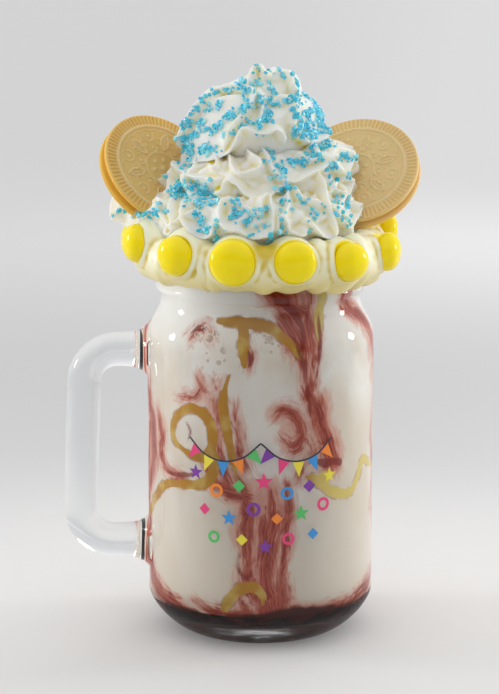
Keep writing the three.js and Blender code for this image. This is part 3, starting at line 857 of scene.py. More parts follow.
def frosting_finish():
    finish, tree, shader = new_finish(
        "vanilla_buttercream", Roughness=0.34, Subsurface_Weight=0.45, Subsurface_Scale=0.003,
        Subsurface_Radius=(1.0, 0.75, 0.35), Coat_Weight=0.35, Coat_Roughness=0.18
    )
    # Painted shade: the folds, the lower part and the deep gaps are painted dark yellow. Painted light: next to
    # the candies it is painted yellow too, and the collars candy yellow, as light bounced from them.
    fold = plus(tree, stored(tree, "fold"), times(tree, grain(tree, 6, 2), 0.1))
    glow = times(tree, stored(tree, "glow"), 0.75)
    share = sums(tree, "MAXIMUM", stepped(tree, fold, -0.04, 0.26), glow)
    low_shade = times(tree, stepped(tree, along(tree, "Z"), 0.136, 0.127), 0.65)
    share = sums(tree, "MAXIMUM", share, low_shade)
    colour = blended(tree, share, FROSTING_COLOUR, FROSTING_SHADE_YELLOW)
    tree.links.new(blended(tree, stored(tree, "halo"), colour, CANDY_YELLOW), shader.inputs["Base Color"])
    bumped(tree, shader, grain(tree, 2.6, 4), 0.12, 0.5)
    return finish


def frosting_blank():
    """A plain ring of frosting with a dollop behind each candy and smaller ones between them."""
    (radius, height), (wide, tall) = FROSTING_MIDDLE, FROSTING_HALF
    steps = [2 * math.pi * i / 20 for i in range(21)]
    bm = turned([(radius + wide * math.cos(t), height + tall * math.sin(t)) for t in steps], 96)
    for name in candy_names:
        middle = candy_place(name)[0]
        angle = math.degrees(math.atan2(middle.x, -middle.y))
        sag = 1.4 * math.sin(math.radians(angle))
        shallow = 1.5 if 60 < angle < 110 else 0
        dollop(bm, angle, DOLLOP_RADIUS - shallow, middle.z / MM - 1.2 - sag, DOLLOP_HALF)
    for angle, height, wide, deep, tall in SMALL_DOLLOPS:
        dollop(bm, angle, DOLLOP_RADIUS - 0.4, height, (wide, deep, tall))
    return bm


def pressed_in(places):
    """Sinks a seat for each candy and raises the collar round it. Gives the places, how much painted
    candy-yellow light and painted gap shade each place gets, and how much painted candy-yellow light covers the
    collar."""
    glow, halo = np.zeros(len(places)), np.zeros(len(places))
    for name in candy_names:
        middle, radius, out = candy_place(name)
        side = out.cross(Vector((0, 0, 1)))
        offset = places - np.array(middle) / MM
        away = np.hypot(offset @ np.array(side), offset[:, 2]) / (radius / MM)
        outer = offset @ np.array(out) > -5
        collar = COLLAR_HIGH * np.exp(-(((away - COLLAR_AT) / COLLAR_WIDE) ** 2))
        seat = SEAT_DEEP * np.exp(-((away / SEAT_WIDE) ** 4))
        places = places + np.outer((collar - seat) * outer, np.array(out))
        # Painted light: yellow bounced from the candy, painted on the frosting round it and over its collar.
        glow = np.maximum(glow, 1.3 * np.clip((1.15 - away) / 0.13, 0, 1) ** 1.5 * outer)
        halo = np.maximum(halo, np.clip((1.12 - away) / 0.08, 0, 1) * outer)
    for angle, height, size in SHADED_GAPS:
        away = np.linalg.norm(places - np.array(around(angle, 43, height)) / MM, axis=1)
        glow = np.maximum(glow, 2.2 * np.exp(-((away / size) ** 2)))
    return places, glow, halo


def roughened(places):
    """Makes the frosting uneven, and keeps it outside the jar where it lies below the lip."""
    radius = np.hypot(places[:, 0], places[:, 1])
    for i in range(len(places)):
        rough = sum(tall * noise.noise(Vector(places[i]) / size) for tall, size in FROSTING_ROUGH)
        places[i, :2] *= 1 + rough / max(radius[i], 1)
    radius = np.hypot(places[:, 0], places[:, 1])
    least = np.where(places[:, 2] < JAR_HEIGHT + 0.3, jar_radius(places[:, 2]) + 0.05, 0)
    places[:, :2] *= (np.maximum(radius, least) / np.maximum(radius, 1e-6))[:, None]
    return places


frosting = remeshed(add_piece("buttercream_ring", frosting_blank(), None), FROSTING_VOXEL, 12)
frosting.data.materials.append(frosting_finish())
places, glow, halo = pressed_in(points_of(frosting.data) / MM)
set_points(frosting.data, roughened(places) * MM)
add_numbers(frosting.data, "fold", fold_depth(frosting.data, 10))
add_numbers(frosting.data, "glow", glow)
add_numbers(frosting.data, "halo", halo)
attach(frosting, "root")
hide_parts("frosting_rim")


# The whipped cream was piped with a star nozzle in one rope that winds up into a peak. Its ribs are ruffled low
# down, where the hand shook, and they run smooth and wide on the upper turn. It spreads widest at the left.
# Each turn: the angle along the rope, its distance from the jar's axis, its height and its radius.
ROPE_TURNS = [
    (-180, 29, 147.5, 9.5), (-140, 34, 147.8, 9.5), (-112, 43, 148.6, 10), (-98, 40, 148, 9.5),
    (-80, 33, 147, 9), (-58, 31, 147, 9.6), (-30, 29.5, 147.2, 9.6), (0, 29, 148.2, 9.5),
    (45, 26.5, 149, 9.5), (90, 24, 150, 9.5), (135, 27.5, 151, 9.6), (180, 26, 153, 9.5),
    (270, 21, 157.5, 9.3), (360, 19, 162, 9.8), (430, 22, 164.5, 9.2), (480, 21, 166.5, 9.2),
    (540, 17, 169.5, 10), (630, 14.6, 175.2, 12.4), (680, 12, 177.8, 12.4), (720, 12.3, 176.8, 12.2),
    (810, 9.6, 179.5, 11.2), (900, 8, 183, 10.5), (990, 6.2, 184.4, 9.8), (1080, 4.8, 188.2, 8.6),
    (1170, 4.4, 191.8, 7.2), (1260, 2.6, 194.4, 5.0), (1335, 1.4, 200, 0.9),
]
TIP_TURNS = [(60, 8, 187.6, 6.4), (80, 9, 191.6, 5.6), (92, 9.8, 195.2, 4.0), (100, 10.4, 198.4, 0.9)]
ROPE_STEP = 0.5
ROPE_SIDES = 112
ROPE_END = 5
ROPE_CORE = 0.93
ROPE_SWELL = 0.04
SWELL_LENGTH = 9
SHIFT_LENGTH = 16
RIB_COUNT = 5
RIB_HEIGHT = 0.10
RIB_TWIST = 0.02
RUFFLE_LENGTH = 13.5
RUFFLE_TURN = 3.5
RUFFLE_CURL = 2.3
# Between which angles along the rope the ruffles fade. The lower part ends before they do, and the tip starts
# after them.
LOWER_FADE = (9000, 9001)
UPPER_FADE = (553, 620)
TIP_FADE = (-2, -1)
UPPER_RIB_COUNT = 4
UPPER_RIB_HEIGHT = 0.16
UPPER_TWIST = -0.34
UPPER_TURN = 0.6
CREST_HEIGHT = 3.8
CREST_EDGE = 0.5
CREST_ROOT = 5.0
# The thin edges that curl over the front, each through points (x, z) in the upright plane through the jar's
# axis, as the camera sees them.
UPPER_CRESTS = [
    [(-26.5, 171), (-26, 176), (-24, 180), (-21, 184.5), (-17.5, 187.5), (-13.5, 190), (-9.5, 191.5),
     (-4.5, 191), (-2.5, 189.5), (-3, 186.5), (-4.5, 183), (-7, 180), (-9.5, 177), (-11, 174),
     (-13.5, 171.5)],
    [(-28, 166.5), (-22, 167.5), (-16, 169), (-10.5, 171.5), (-8, 174), (-5.5, 177), (-2, 176.5), (2, 177),
     (4.5, 178), (7, 176), (7.5, 172.5)],
    [(10, 178.5), (12.5, 176), (14.5, 173.5), (18, 173.5), (20.5, 175), (22, 178)],
    [(-4, 192), (-3, 195), (-1.5, 197), (1, 196.5), (2, 194)],
    [(3.5, 194), (6, 195.5), (8.5, 195), (10, 192.5), (12, 189.5)],
    [(0, 176.5), (0.5, 180), (1, 183.5), (0, 188), (-0.5, 191.5)],
    [(3.5, 186), (8.5, 186.5), (11, 185), (10.5, 181.5), (10.5, 178.5)],
]
LOWER_CRESTS = [
    [(-18, 165), (-14.5, 163), (-14, 166.5), (-12, 168.5), (-10, 166.5), (-9, 163.5), (-6.5, 161.5),
     (-2.5, 162.5), (0, 163.5), (-0.5, 166), (-3, 167.5), (-3.5, 169), (-1, 170.5), (1, 169), (3, 166),
     (5, 163), (8, 159), (9.5, 156)],
    [(-16, 155.5), (-12.5, 155.5), (-11.5, 159), (-9.5, 160.5), (-7.5, 159), (-5, 156), (-1.5, 155),
     (2.5, 156), (6, 157), (9, 158.5)],
    [(5.5, 163), (8.5, 161), (12.5, 160.5), (17, 162.5), (21.5, 165), (24, 169), (24.5, 172.5)],
    [(18.5, 163), (20.5, 159), (22, 153.5), (23.5, 147.5), (24.5, 143), (23, 141), (19, 142.5), (16, 145),
     (15, 147)],
    [(-23.5, 151), (-26, 150), (-26.5, 147), (-25, 144), (-22, 142), (-19, 141), (-17, 142), (-16, 145)],
    [(-7.5, 150), (-11, 151.5), (-13.5, 150), (-14.5, 147), (-12, 143.5), (-8.5, 142.5), (-6, 141),
     (-3, 140.5), (0.5, 141), (3, 142), (4, 145), (4.5, 149), (3, 151.5), (1.5, 153), (0, 150),
     (-0.5, 146.5)],
    [(6.5, 144), (8, 146.5), (9.5, 150), (9.5, 153.5), (12, 154.5), (14, 152.5), (17.5, 151.5),
     (21, 150)],
    [(-28, 165.5), (-28.5, 163.5), (-24.5, 161.5), (-20, 160), (-16, 159), (-12.5, 160.5)],
    [(7.5, 141.5), (5.5, 143), (6.5, 146.5), (9, 145), (10, 142), (14, 141.5), (16, 144)],
    [(26, 160), (28, 154), (26.5, 150), (29, 146), (31, 143)],
    [(-31, 157), (-29, 154), (-31, 149), (-29, 145), (-27, 142)],
    [(12, 169), (15, 166.5), (19, 167.5), (17.5, 170.5), (21, 171)],
]
# Ribbons of the same kind on the sides and the back: first and last angle, height at both, and how far the
# ribbon swings up and down.
LOWER_CURLS = [(38, 142, 146, 146, 4.5), (150, 322, 146, 146.5, 4.5), (44, 190, 155, 158, 4.5),
               (200, 312, 156, 157, 4.5), (46, 180, 164, 167, 3.8), (190, 310, 165, 166, 3.8)]
UPPER_CURLS = [(108, 252, 171, 176, 1.8), (108, 252, 181, 186, 1.8)]
CURL_PITCH = 24
CURL_SWAY = 4.5
# What the rope is wound round, as (radius, height).
LOWER_CORE = [(0, 134.15), (30.8, 134.15), (30.8, 146), (27, 150), (18, 166), (8, 172), (0, 174)]
UPPER_CORE = [(0, 158), (14, 160), (15, 172), (9, 184), (3.5, 193), (0, 195)]
CREAM_VOXEL = 0.45
CREAM_TRIANGLES = 190000
CREAM_COLOUR = (0.88, 0.865, 0.79, 1)
CREAM_FOLD_SHADE = (0.84, 0.74, 0.32, 1)
CREAM_SPOT_YELLOW = (0.80, 0.66, 0.02, 1)
# Yellow spots on the cream: x and z as the camera sees them, and size.
CREAM_YELLOW_SPOTS = [
    (11.6, 175, 1.2), (13.4, 173.8, 1.7), (15.2, 172.6, 1.7), (16.6, 171.6, 1.2), (-17.2, 166.2, 1.7),
    (-14.1, 156.7, 1.7),
]


def grid_tube(bm, centres, out, up, radii, sides, flat=None):
    """Rolls a grid into a tube. radii has a row for each centre and a column for each side, and flat says how
    much each side's spread along up is squeezed."""
    count = len(centres)
    made = bmesh.ops.create_grid(bm, x_segments=sides, y_segments=count - 1, size=0.5)["verts"]
    turns = np.linspace(0, 2 * math.pi, sides + 1)
    for vert in made:
        i, j = round((vert.co.y + 0.5) * (count - 1)), round((vert.co.x + 0.5) * sides)
        turn = turns[j]
        away = radii[i][j % sides]
        squeeze = 1 if flat is None else flat[j % sides]
        spread = math.cos(turn) * out[i] + squeeze * math.sin(turn) * up[i]
        vert.co = Vector((centres[i] + away * spread) * MM)
    bmesh.ops.remove_doubles(bm, verts=made, dist=1e-6)


def unit(rows):
    return rows / np.linalg.norm(rows, axis=1)[:, None]


def rope_frame(turns_table):
    """Even steps along a rope of cream: the steps, their angles, sizes and places, and the rope's two cross
    directions, outwards and up."""
    line = smooth_path(turns_table, 40)
    turn = np.radians(line[:, 0])
    path = np.stack([line[:, 1] * np.sin(turn), -line[:, 1] * np.cos(turn), line[:, 2]], 1)
    run = np.concatenate([[0], np.cumsum(np.linalg.norm(np.diff(path, axis=0), axis=1))])
    steps = np.arange(0, run[-1], ROPE_STEP)
    centres = np.stack([np.interp(steps, run, path[:, k]) for k in range(3)], 1)
    angle, size = np.interp(steps, run, line[:, 0]), np.interp(steps, run, line[:, 3])
    ahead = unit(np.gradient(centres, axis=0))
    out = np.stack([np.sin(np.radians(angle)), -np.cos(np.radians(angle)), np.zeros(len(angle))], 1)
    up = np.cross(ahead, out)
    up *= np.sign(up[:, 2:3] + 1e-9) / np.linalg.norm(up, axis=1)[:, None]
    out = np.cross(up, ahead)
    out *= np.sign((out * centres).sum(1))[:, None] / np.linalg.norm(out, axis=1)[:, None]
    return steps, angle, size, centres, out, up


def rope_crest(steps, calm, shift, swell):
    """How far the ribs stand out, for each step and side: ruffled where calm is 0, smooth where it is 1."""
    sides = np.linspace(0, 2 * math.pi, ROPE_SIDES, endpoint=False)
    twisted = RIB_COUNT * sides[None] + RIB_TWIST * steps[:, None]
    curled = (steps + 6 * shift)[:, None] + RUFFLE_CURL * np.sin(twisted)
    tall = RUFFLE_TURN * (1 + 0.5 * swell) * (1 - calm)
    wave = tall[:, None] * np.sin(2 * math.pi * curled / RUFFLE_LENGTH)
    low_crest = RIB_HEIGHT * ((1 + np.cos(twisted + wave)) / 2) ** 2.4
    wound = UPPER_RIB_COUNT * sides[None] + (UPPER_TWIST * steps + UPPER_TURN + shift)[:, None]
    high_crest = UPPER_RIB_HEIGHT * (1 - np.abs(np.sin(wound / 2))) ** 1.2
    return low_crest * (1 - calm[:, None]) + high_crest * calm[:, None]


def pipe_rope(bm, turns_table, fade, seed):
    """Pipes one rope of cream through the table's turns. Its ruffles fade between two angles."""
    steps, angle, size, centres, out, up = rope_frame(turns_table)
    calm = np.clip((angle - fade[0]) / (fade[1] - fade[0]), 0, 1)
    shift = np.array([noise.noise(Vector((s / SHIFT_LENGTH, seed, 0))) for s in steps])
    swell = np.array([noise.noise(Vector((s / SWELL_LENGTH, seed, 5))) for s in steps])
    ends = np.minimum(steps, steps[-1] - steps)
    taper = np.sqrt(np.clip(1 - (1 - np.minimum(ends / ROPE_END, 1)) ** 2, 0, 1))
    taper[0] = taper[-1] = 0
    crest = rope_crest(steps, calm, shift, swell)
    radii = (size * taper)[:, None] * (ROPE_CORE + crest + ROPE_SWELL * swell[:, None])
    grid_tube(bm, centres, out, up, radii, ROPE_SIDES)


def landing(skins, start, towards):
    """Where a ray first meets the cream, and which way the cream faces there."""
    hits = [skin.ray_cast(start, towards) for skin in skins]
    hits = [(distance, place, facing) for place, facing, _, distance in hits if place is not None]
    return min(hits, key=lambda hit: hit[0])[1:] if hits else None


def relaxed(values, rounds):
    """Smooths the rows of values along a line, and keeps its ends."""
    values = values.copy()
    for _ in range(rounds):
        values[1:-1] = 0.5 * values[1:-1] + 0.25 * (values[:-2] + values[2:])
    return values


def front_rays(points):
    """Rays from the camera through a line in the upright plane through the jar's axis: (start, direction)."""
    eye = Vector(CAMERA_PLACE) * MM
    return [(eye, (Vector((x, 0, z)) * MM - eye).normalized()) for x, z in smooth_path(points, 9)]


def curl_rays(first, last, low, high, reach):
    """Rays from outside towards the jar's axis, along a ribbon that swings to and fro."""
    rays = []
    swings = (last - first) / CURL_PITCH
    for t in np.linspace(0, swings, round(swings * 40)):
        angle = first + CURL_PITCH * t + CURL_SWAY * math.sin(4 * math.pi * t)
        height = low + (high - low) * (angle - first) / (last - first) + reach * math.sin(2 * math.pi * t)
        start = around(angle, 110, height + 14)
        rays.append((start, (around(angle, 20, height) - start).normalized()))
    return rays


def curl_ribbon(bm, skin, rays):
    """Stands a thin ribbon of cream on the skin, along the line where the rays meet it."""
    hits = [landing([skin], start, towards) for start, towards in rays]
    found = [i for i, hit in enumerate(hits) if hit]
    if len(found) < 8:
        return
    depths = [(hits[i][0] - rays[i][0]).length / MM for i in found]
    facings = [hits[i][1] * (-1 if hits[i][1].dot(rays[i][1]) > 0 else 1) for i in found]
    steps = range(len(rays))
    depth = relaxed(np.interp(steps, found, depths), 60)
    facing = relaxed(np.stack([np.interp(steps, found, [f[k] for f in facings]) for k in range(3)], 1), 40)
    starts, ways = (np.array([ray[k][:] for ray in rays]) for k in (0, 1))
    centres = starts / MM + depth[:, None] * ways
    ahead = np.gradient(centres, axis=0)
    side = np.cross(facing, ahead)
    out, side = unit(np.cross(ahead, side)), unit(side)
    turns = np.linspace(0, 2 * math.pi, 24, endpoint=False)
    flat = (CREST_EDGE + CREST_ROOT * ((1 - np.cos(turns)) / 2) ** 1.6) / CREST_HEIGHT
    ends = np.minimum(np.arange(len(rays)), len(rays) - 1 - np.arange(len(rays))) / 7
    taper = np.sqrt(1 - (1 - np.minimum(ends, 1)) ** 2)
    radii = np.outer(taper * CREST_HEIGHT, np.ones(len(turns)))
    grid_tube(bm, centres, out, side, radii, len(turns), flat)


def cream_finish():
    finish, tree, shader = new_finish(
        "whipped_cream", Roughness=0.42, Subsurface_Weight=0.6, Subsurface_Scale=0.006,
        Subsurface_Radius=(1.0, 0.85, 0.55), Coat_Weight=0.08, Coat_Roughness=0.35
    )
    fold = plus(tree, stored(tree, "fold"), times(tree, grain(tree, 9, 2), 0.2))
    # Painted shade: the folds are painted darker and yellower.
    colour = laid(tree, CREAM_COLOUR, CREAM_FOLD_SHADE, fold, 0.06, 0.62)
    colour = laid(tree, colour, CREAM_SPOT_YELLOW, stored(tree, "yellow_spot"), 0.15, 0.7)
    tree.links.new(colour, shader.inputs["Base Color"])
    bumped(tree, shader, grain(tree, 1.6, 4), 0.06, 0.5)
    return finish


def yellow_spots(skin, places):
    """How yellow each of the places is, from the yellow spots that the camera sees on the skin."""
    amount = np.zeros(len(places))
    for x, z, size in CREAM_YELLOW_SPOTS:
        hit = landing([skin], *front_rays([(x, z), (x, z + 0.1)])[0])
        if hit:
            away = np.linalg.norm(places - np.array(hit[0]), axis=1) / MM
            amount = np.maximum(amount, np.exp(-((away / size) ** 2)))
    return amount


def thinned(piece, most):
    """Takes out the faces that the shape needs least, until the piece has no more than most triangles."""
    triangles = sum(len(face.vertices) - 2 for face in piece.data.polygons)
    if triangles > most:
        piece.modifiers.new("thin", "DECIMATE").ratio = most / triangles
        finished(piece)
        piece.data.shade_smooth()


def trimmed(turns_table, low, high):
    """The part of a table of turns between two angles."""
    line = smooth_path(turns_table, 12)
    return [tuple(row) for row in line if low <= row[0] <= high]


cream_look = cream_finish()
creams = []
# Each piece of cream: its name, the angles along the rope that it starts and ends at, and its tables.
for name, low, high, core, fade, crests, curls in (
    ("cream_lower_tiers", -180, 566, LOWER_CORE, LOWER_FADE, LOWER_CRESTS, LOWER_CURLS),
    ("cream_upper_swirl", 552, 1400, UPPER_CORE, UPPER_FADE, UPPER_CRESTS, UPPER_CURLS),
):
    bm = turned(core, 48)
    pipe_rope(bm, trimmed(ROPE_TURNS, low, high), fade, 3.7)
    if low > 0:
        pipe_rope(bm, TIP_TURNS, TIP_FADE, 8.1)
    skin = BVHTree.FromBMesh(bm)
    for rays in [front_rays(points) for points in crests] + [curl_rays(*curl) for curl in curls]:
        curl_ribbon(bm, skin, rays)
    piece = remeshed(add_piece(name, bm, None), CREAM_VOXEL, 2)
    piece.data.materials.append(cream_look)
    add_numbers(piece.data, "fold", fold_depth(piece.data, 14))
    add_numbers(piece.data, "yellow_spot", yellow_spots(skin, points_of(piece.data)))
    thinned(piece, CREAM_TRIANGLES)
    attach(piece, "root")
    creams.append(piece)
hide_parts("whipped_cream")


# The sandwich cookies are golden baked wafers with a thin vanilla filling. A mould pressed their faces: ribs
# round the rim, a bead, and a plain leaf and dot ornament. Each is pushed into the cream like an ear.
COOKIE_RADIUS = 22.2
WAFER_THICKNESS = 2.1
FILLING_RADIUS = 19.6
COOKIE_THICKNESS = 6.0
# Each cookie: the middle of its front face, how far that face is turned about the upright, and how far above
# the horizon it looks, in degrees.
COOKIE_PLACES = {
    "right": {"middle": (33.2, 3, 163.6), "angle": -17.6, "above": 42},
    "left": {"middle": (-34, 3, 163.8), "angle": 38, "above": 37},
}
BISCUIT_COLOUR = (0.60, 0.42, 0.165, 1)
BISCUIT_PALE_AND_HIGHLIGHT = (0.76, 0.57, 0.27, 1)
BISCUIT_GROOVE_SHADE = (0.46, 0.25, 0.055, 1)
BISCUIT_EDGE = (0.78, 0.46, 0.06, 1)
BISCUIT_RIGHT_LIGHT = (0.84, 0.66, 0.37, 1)
FILLING_COLOUR = (0.90, 0.85, 0.70, 1)
WAFER_RINGS = 90
WAFER_STEPS = 432
WAFER_FACE = 21.2
WAFER_ROUND = 0.7
WAFER_WARP = 0.09
# The embossing: the ribs between two radii, and the rings inside them, one of them wavy.
RIB_TOTAL = 84
RIB_BAND = (18.0, 21.75)
OUTER_RING = 17.4
WAVY_RING = 15.9
INNER_RING = 6.4
# The ornament repeats six times, with a leaf in each sixth and curls between two of them. Each arc has its
# middle, its radius, the angles of its ends, its height and its half width. Each dot has its distance from the
# middle of the wafer, its radius and its height.
BETWEEN_LEAVES = 0.524
LEAF_ARCS = [((11.2, -2.9), 4.4, 38, 142, 0.36, 0.42), ((11.2, 2.9), 4.4, 218, 322, 0.36, 0.42)]
LEAF_DOTS = [(3.6, 1.1, 0.34)]
CURL_ARCS = [((13.4, 0), 2.1, 60, 300, 0.34, 0.36), ((8.6, 0), 1.7, 100, 260, 0.30, 0.32),
             ((10.6, 3.4), 1.3, 0, 250, 0.30, 0.32), ((10.6, -3.4), 1.3, 110, 360, 0.30, 0.32)]
CURL_DOTS = [(13.4, 0.85, 0.34), (8.6, 0.75, 0.32)]


def bump_shape(away, half):
    """1 in the middle of a raised line, 0 further than half away from it, and round between."""
    return np.clip(1 - (away / half) ** 2, 0, 1) ** 0.8


def arc_away(x, y, middle, radius, low, high):
    """Distance from the points to an arc of a circle, whose ends are given in degrees."""
    dx, dy = x - middle[0], y - middle[1]
    turn = np.degrees(np.arctan2(dy, dx)) % 360
    span = (turn - low) % 360 <= (high - low)
    tips = [(radius * math.cos(math.radians(t)), radius * math.sin(math.radians(t))) for t in (low, high)]
    ends = [np.hypot(dx - tip_x, dy - tip_y) for tip_x, tip_y in tips]
    return np.where(span, np.abs(np.hypot(dx, dy) - radius), np.minimum(*ends))


def ornament(x, y, arcs, dots):
    """Height of one repeat of the ornament, which lies along +X."""
    height = np.zeros(len(x))
    for middle, radius, low, high, tall, half in arcs:
        height += tall * bump_shape(arc_away(x, y, middle, radius, low, high), half)
    for out, half, tall in dots:
        height += tall * bump_shape(np.hypot(x - out, y), half)
    return height


def embossing(x, y):
    """Height of the pressed ornament over the face of a wafer, in millimetres."""
    radius, turn = np.hypot(x, y), np.arctan2(y, x)
    rib = np.clip(0.5 + 0.75 * np.cos(RIB_TOTAL * turn), 0, 1)
    band = np.clip((radius - RIB_BAND[0]) / 0.5, 0, 1) * np.clip((RIB_BAND[1] - radius) / 0.4, 0, 1)
    height = -0.50 * (1 - rib) * band
    height += 0.34 * bump_shape(np.abs(radius - OUTER_RING), 0.5)
    height -= 0.22 * np.clip((OUTER_RING - radius) / 0.6, 0, 1)
    height += 0.30 * bump_shape(np.abs(radius - INNER_RING), 0.36)
    height += 0.26 * bump_shape(np.abs(radius - WAVY_RING - 0.35 * np.cos(24 * turn)), 0.34)
    for lean in [math.radians(60 * k) for k in range(6)]:
        px, py = x * math.cos(lean) + y * math.sin(lean), -x * math.sin(lean) + y * math.cos(lean)
        height += ornament(px, py, LEAF_ARCS, LEAF_DOTS)
        height += 0.28 * bump_shape(np.where((px > 8.8) & (px < 13.6), np.abs(py), 9), 0.34)
        lean += BETWEEN_LEAVES
        px, py = x * math.cos(lean) + y * math.sin(lean), -x * math.sin(lean) + y * math.cos(lean)
        height += ornament(px, py, CURL_ARCS, CURL_DOTS)
    return height + 0.36 * bump_shape(radius, 1.5)


def wafer():
    """A wafer whose embossed face lies at z = 0 and looks along +Z, as a mesh. It stores its relief and how
    brown it is baked."""
    face = [(WAFER_FACE * i / (WAFER_RINGS - 1), 0) for i in range(WAFER_RINGS)]
    turns = [math.pi / 2 * i / 6 for i in range(1, 7)]
    radius, low = COOKIE_RADIUS, -WAFER_THICKNESS
    edge = [(radius - WAFER_ROUND * (1 - math.sin(t)), -WAFER_ROUND * (1 - math.cos(t))) for t in turns]
    back = [(radius, low + 0.5), (radius - 0.5, low), (0, low)]
    bm = turned(face + edge + back, WAFER_STEPS)
    mesh = bpy.data.meshes.new("wafer")
    bm.to_mesh(mesh)
    bm.free()
    x, y, z = points_of(mesh).T / MM
    relief = embossing(x, y) * (z > -0.9)
    set_points(mesh, np.stack([x, y, z + relief], 1) * MM)
    add_numbers(mesh, "relief", relief)
    rim = 0.4 * np.clip((np.hypot(x, y) - OUTER_RING) / 3, 0, 1)
    add_numbers(mesh, "toast", np.maximum(np.clip(-(z + relief) / 0.8, 0, 1), rim))
    mesh.shade_smooth()
    return mesh


def cookie_pose(place):
    tip = Matrix.Rotation(math.radians(90 - place["above"]), 4, "X")
    spin = Matrix.Rotation(math.radians(place["angle"]), 4, "Z")
    return Matrix.Translation(Vector(place["middle"]) * MM) @ spin @ tip


def biscuit_finish():
    finish, tree, shader = new_finish(
        "golden_biscuit", Roughness=0.72, Subsurface_Weight=0.12, Subsurface_Scale=0.002
    )
    relief = stored(tree, "relief")
    colour = laid(tree, BISCUIT_COLOUR, BISCUIT_PALE_AND_HIGHLIGHT, grain(tree, 12, 2), 0.35, 0.7, 0.35)
    # Painted shade and painted highlight: the grooves of the relief are painted darker and its raised lines
    # paler.
    colour = laid(tree, colour, BISCUIT_GROOVE_SHADE, relief, -0.15, -0.5, 0.6)
    colour = laid(tree, colour, BISCUIT_PALE_AND_HIGHLIGHT, relief, -0.12, 0.12, 0.75)
    colour = blended(tree, stored(tree, "toast"), colour, BISCUIT_EDGE)
    # Painted light: the cookie on the right is painted paler, as if lit more from the right.
    colour = laid(tree, colour, BISCUIT_RIGHT_LIGHT, along(tree, "X"), -0.01, 0.02, 0.45)
    tree.links.new(colour, shader.inputs["Base Color"])
    bumped(tree, shader, grain(tree, 0.5, 4), 0.08, 0.7)
    return finish


def filling_finish():
    finish, tree, shader = new_finish("vanilla_filling", Roughness=0.6, Base_Color=FILLING_COLOUR)
    bumped(tree, shader, grain(tree, 1.5, 3), 0.1, 0.5)
    return finish


biscuit, vanilla = biscuit_finish(), filling_finish()
pressed = wafer()
pressed.materials.append(biscuit)
for number, (side, place) in enumerate(COOKIE_PLACES.items()):
    pose = cookie_pose(place)
    flip = Matrix.Translation((0, 0, -COOKIE_THICKNESS * MM)) @ Matrix.Rotation(math.pi, 4, "X")
    for layer, turn in (("front_wafer", Matrix.Identity(4)), ("back_wafer", flip)):
        mesh = pressed.copy()
        places, seed = points_of(mesh), 3 * number + len(layer)
        warp = np.sin(places[:, 0] / (6.1 * MM) + seed) * np.cos(places[:, 1] / (7.3 * MM) + seed)
        places[:, 2] += WAFER_WARP * MM * warp
        set_points(mesh, places)
        mesh.transform(pose @ turn @ Matrix.Rotation(math.radians(23 + 40 * number), 4, "Z"))
        mesh.update()
        piece = bpy.data.objects.new(f"{side}_{layer}", mesh)
        bpy.context.scene.collection.objects.link(piece)
        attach(piece, "root")
        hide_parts(f"cookie_{side}_{layer}")
    top = -WAFER_THICKNESS - 0.02
    low = -COOKIE_THICKNESS + WAFER_THICKNESS + 0.02
    edge = [(FILLING_RADIUS - 0.4, top), (FILLING_RADIUS, (top + low) / 2), (FILLING_RADIUS - 0.4, low)]
    bm = turned([(0, top), *edge, (0, low)], 96)
    for vert in bm.verts:
        vert.co *= 1 + 0.02 * noise.noise(vert.co / (5 * MM)) * (vert.co.xy.length > 10 * MM)
    bmesh.ops.transform(bm, matrix=pose, verts=bm.verts)
    piece = add_piece(f"{side}_filling", bm, vanilla)
    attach(piece, "root")
    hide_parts(f"cookie_{side}_filling")


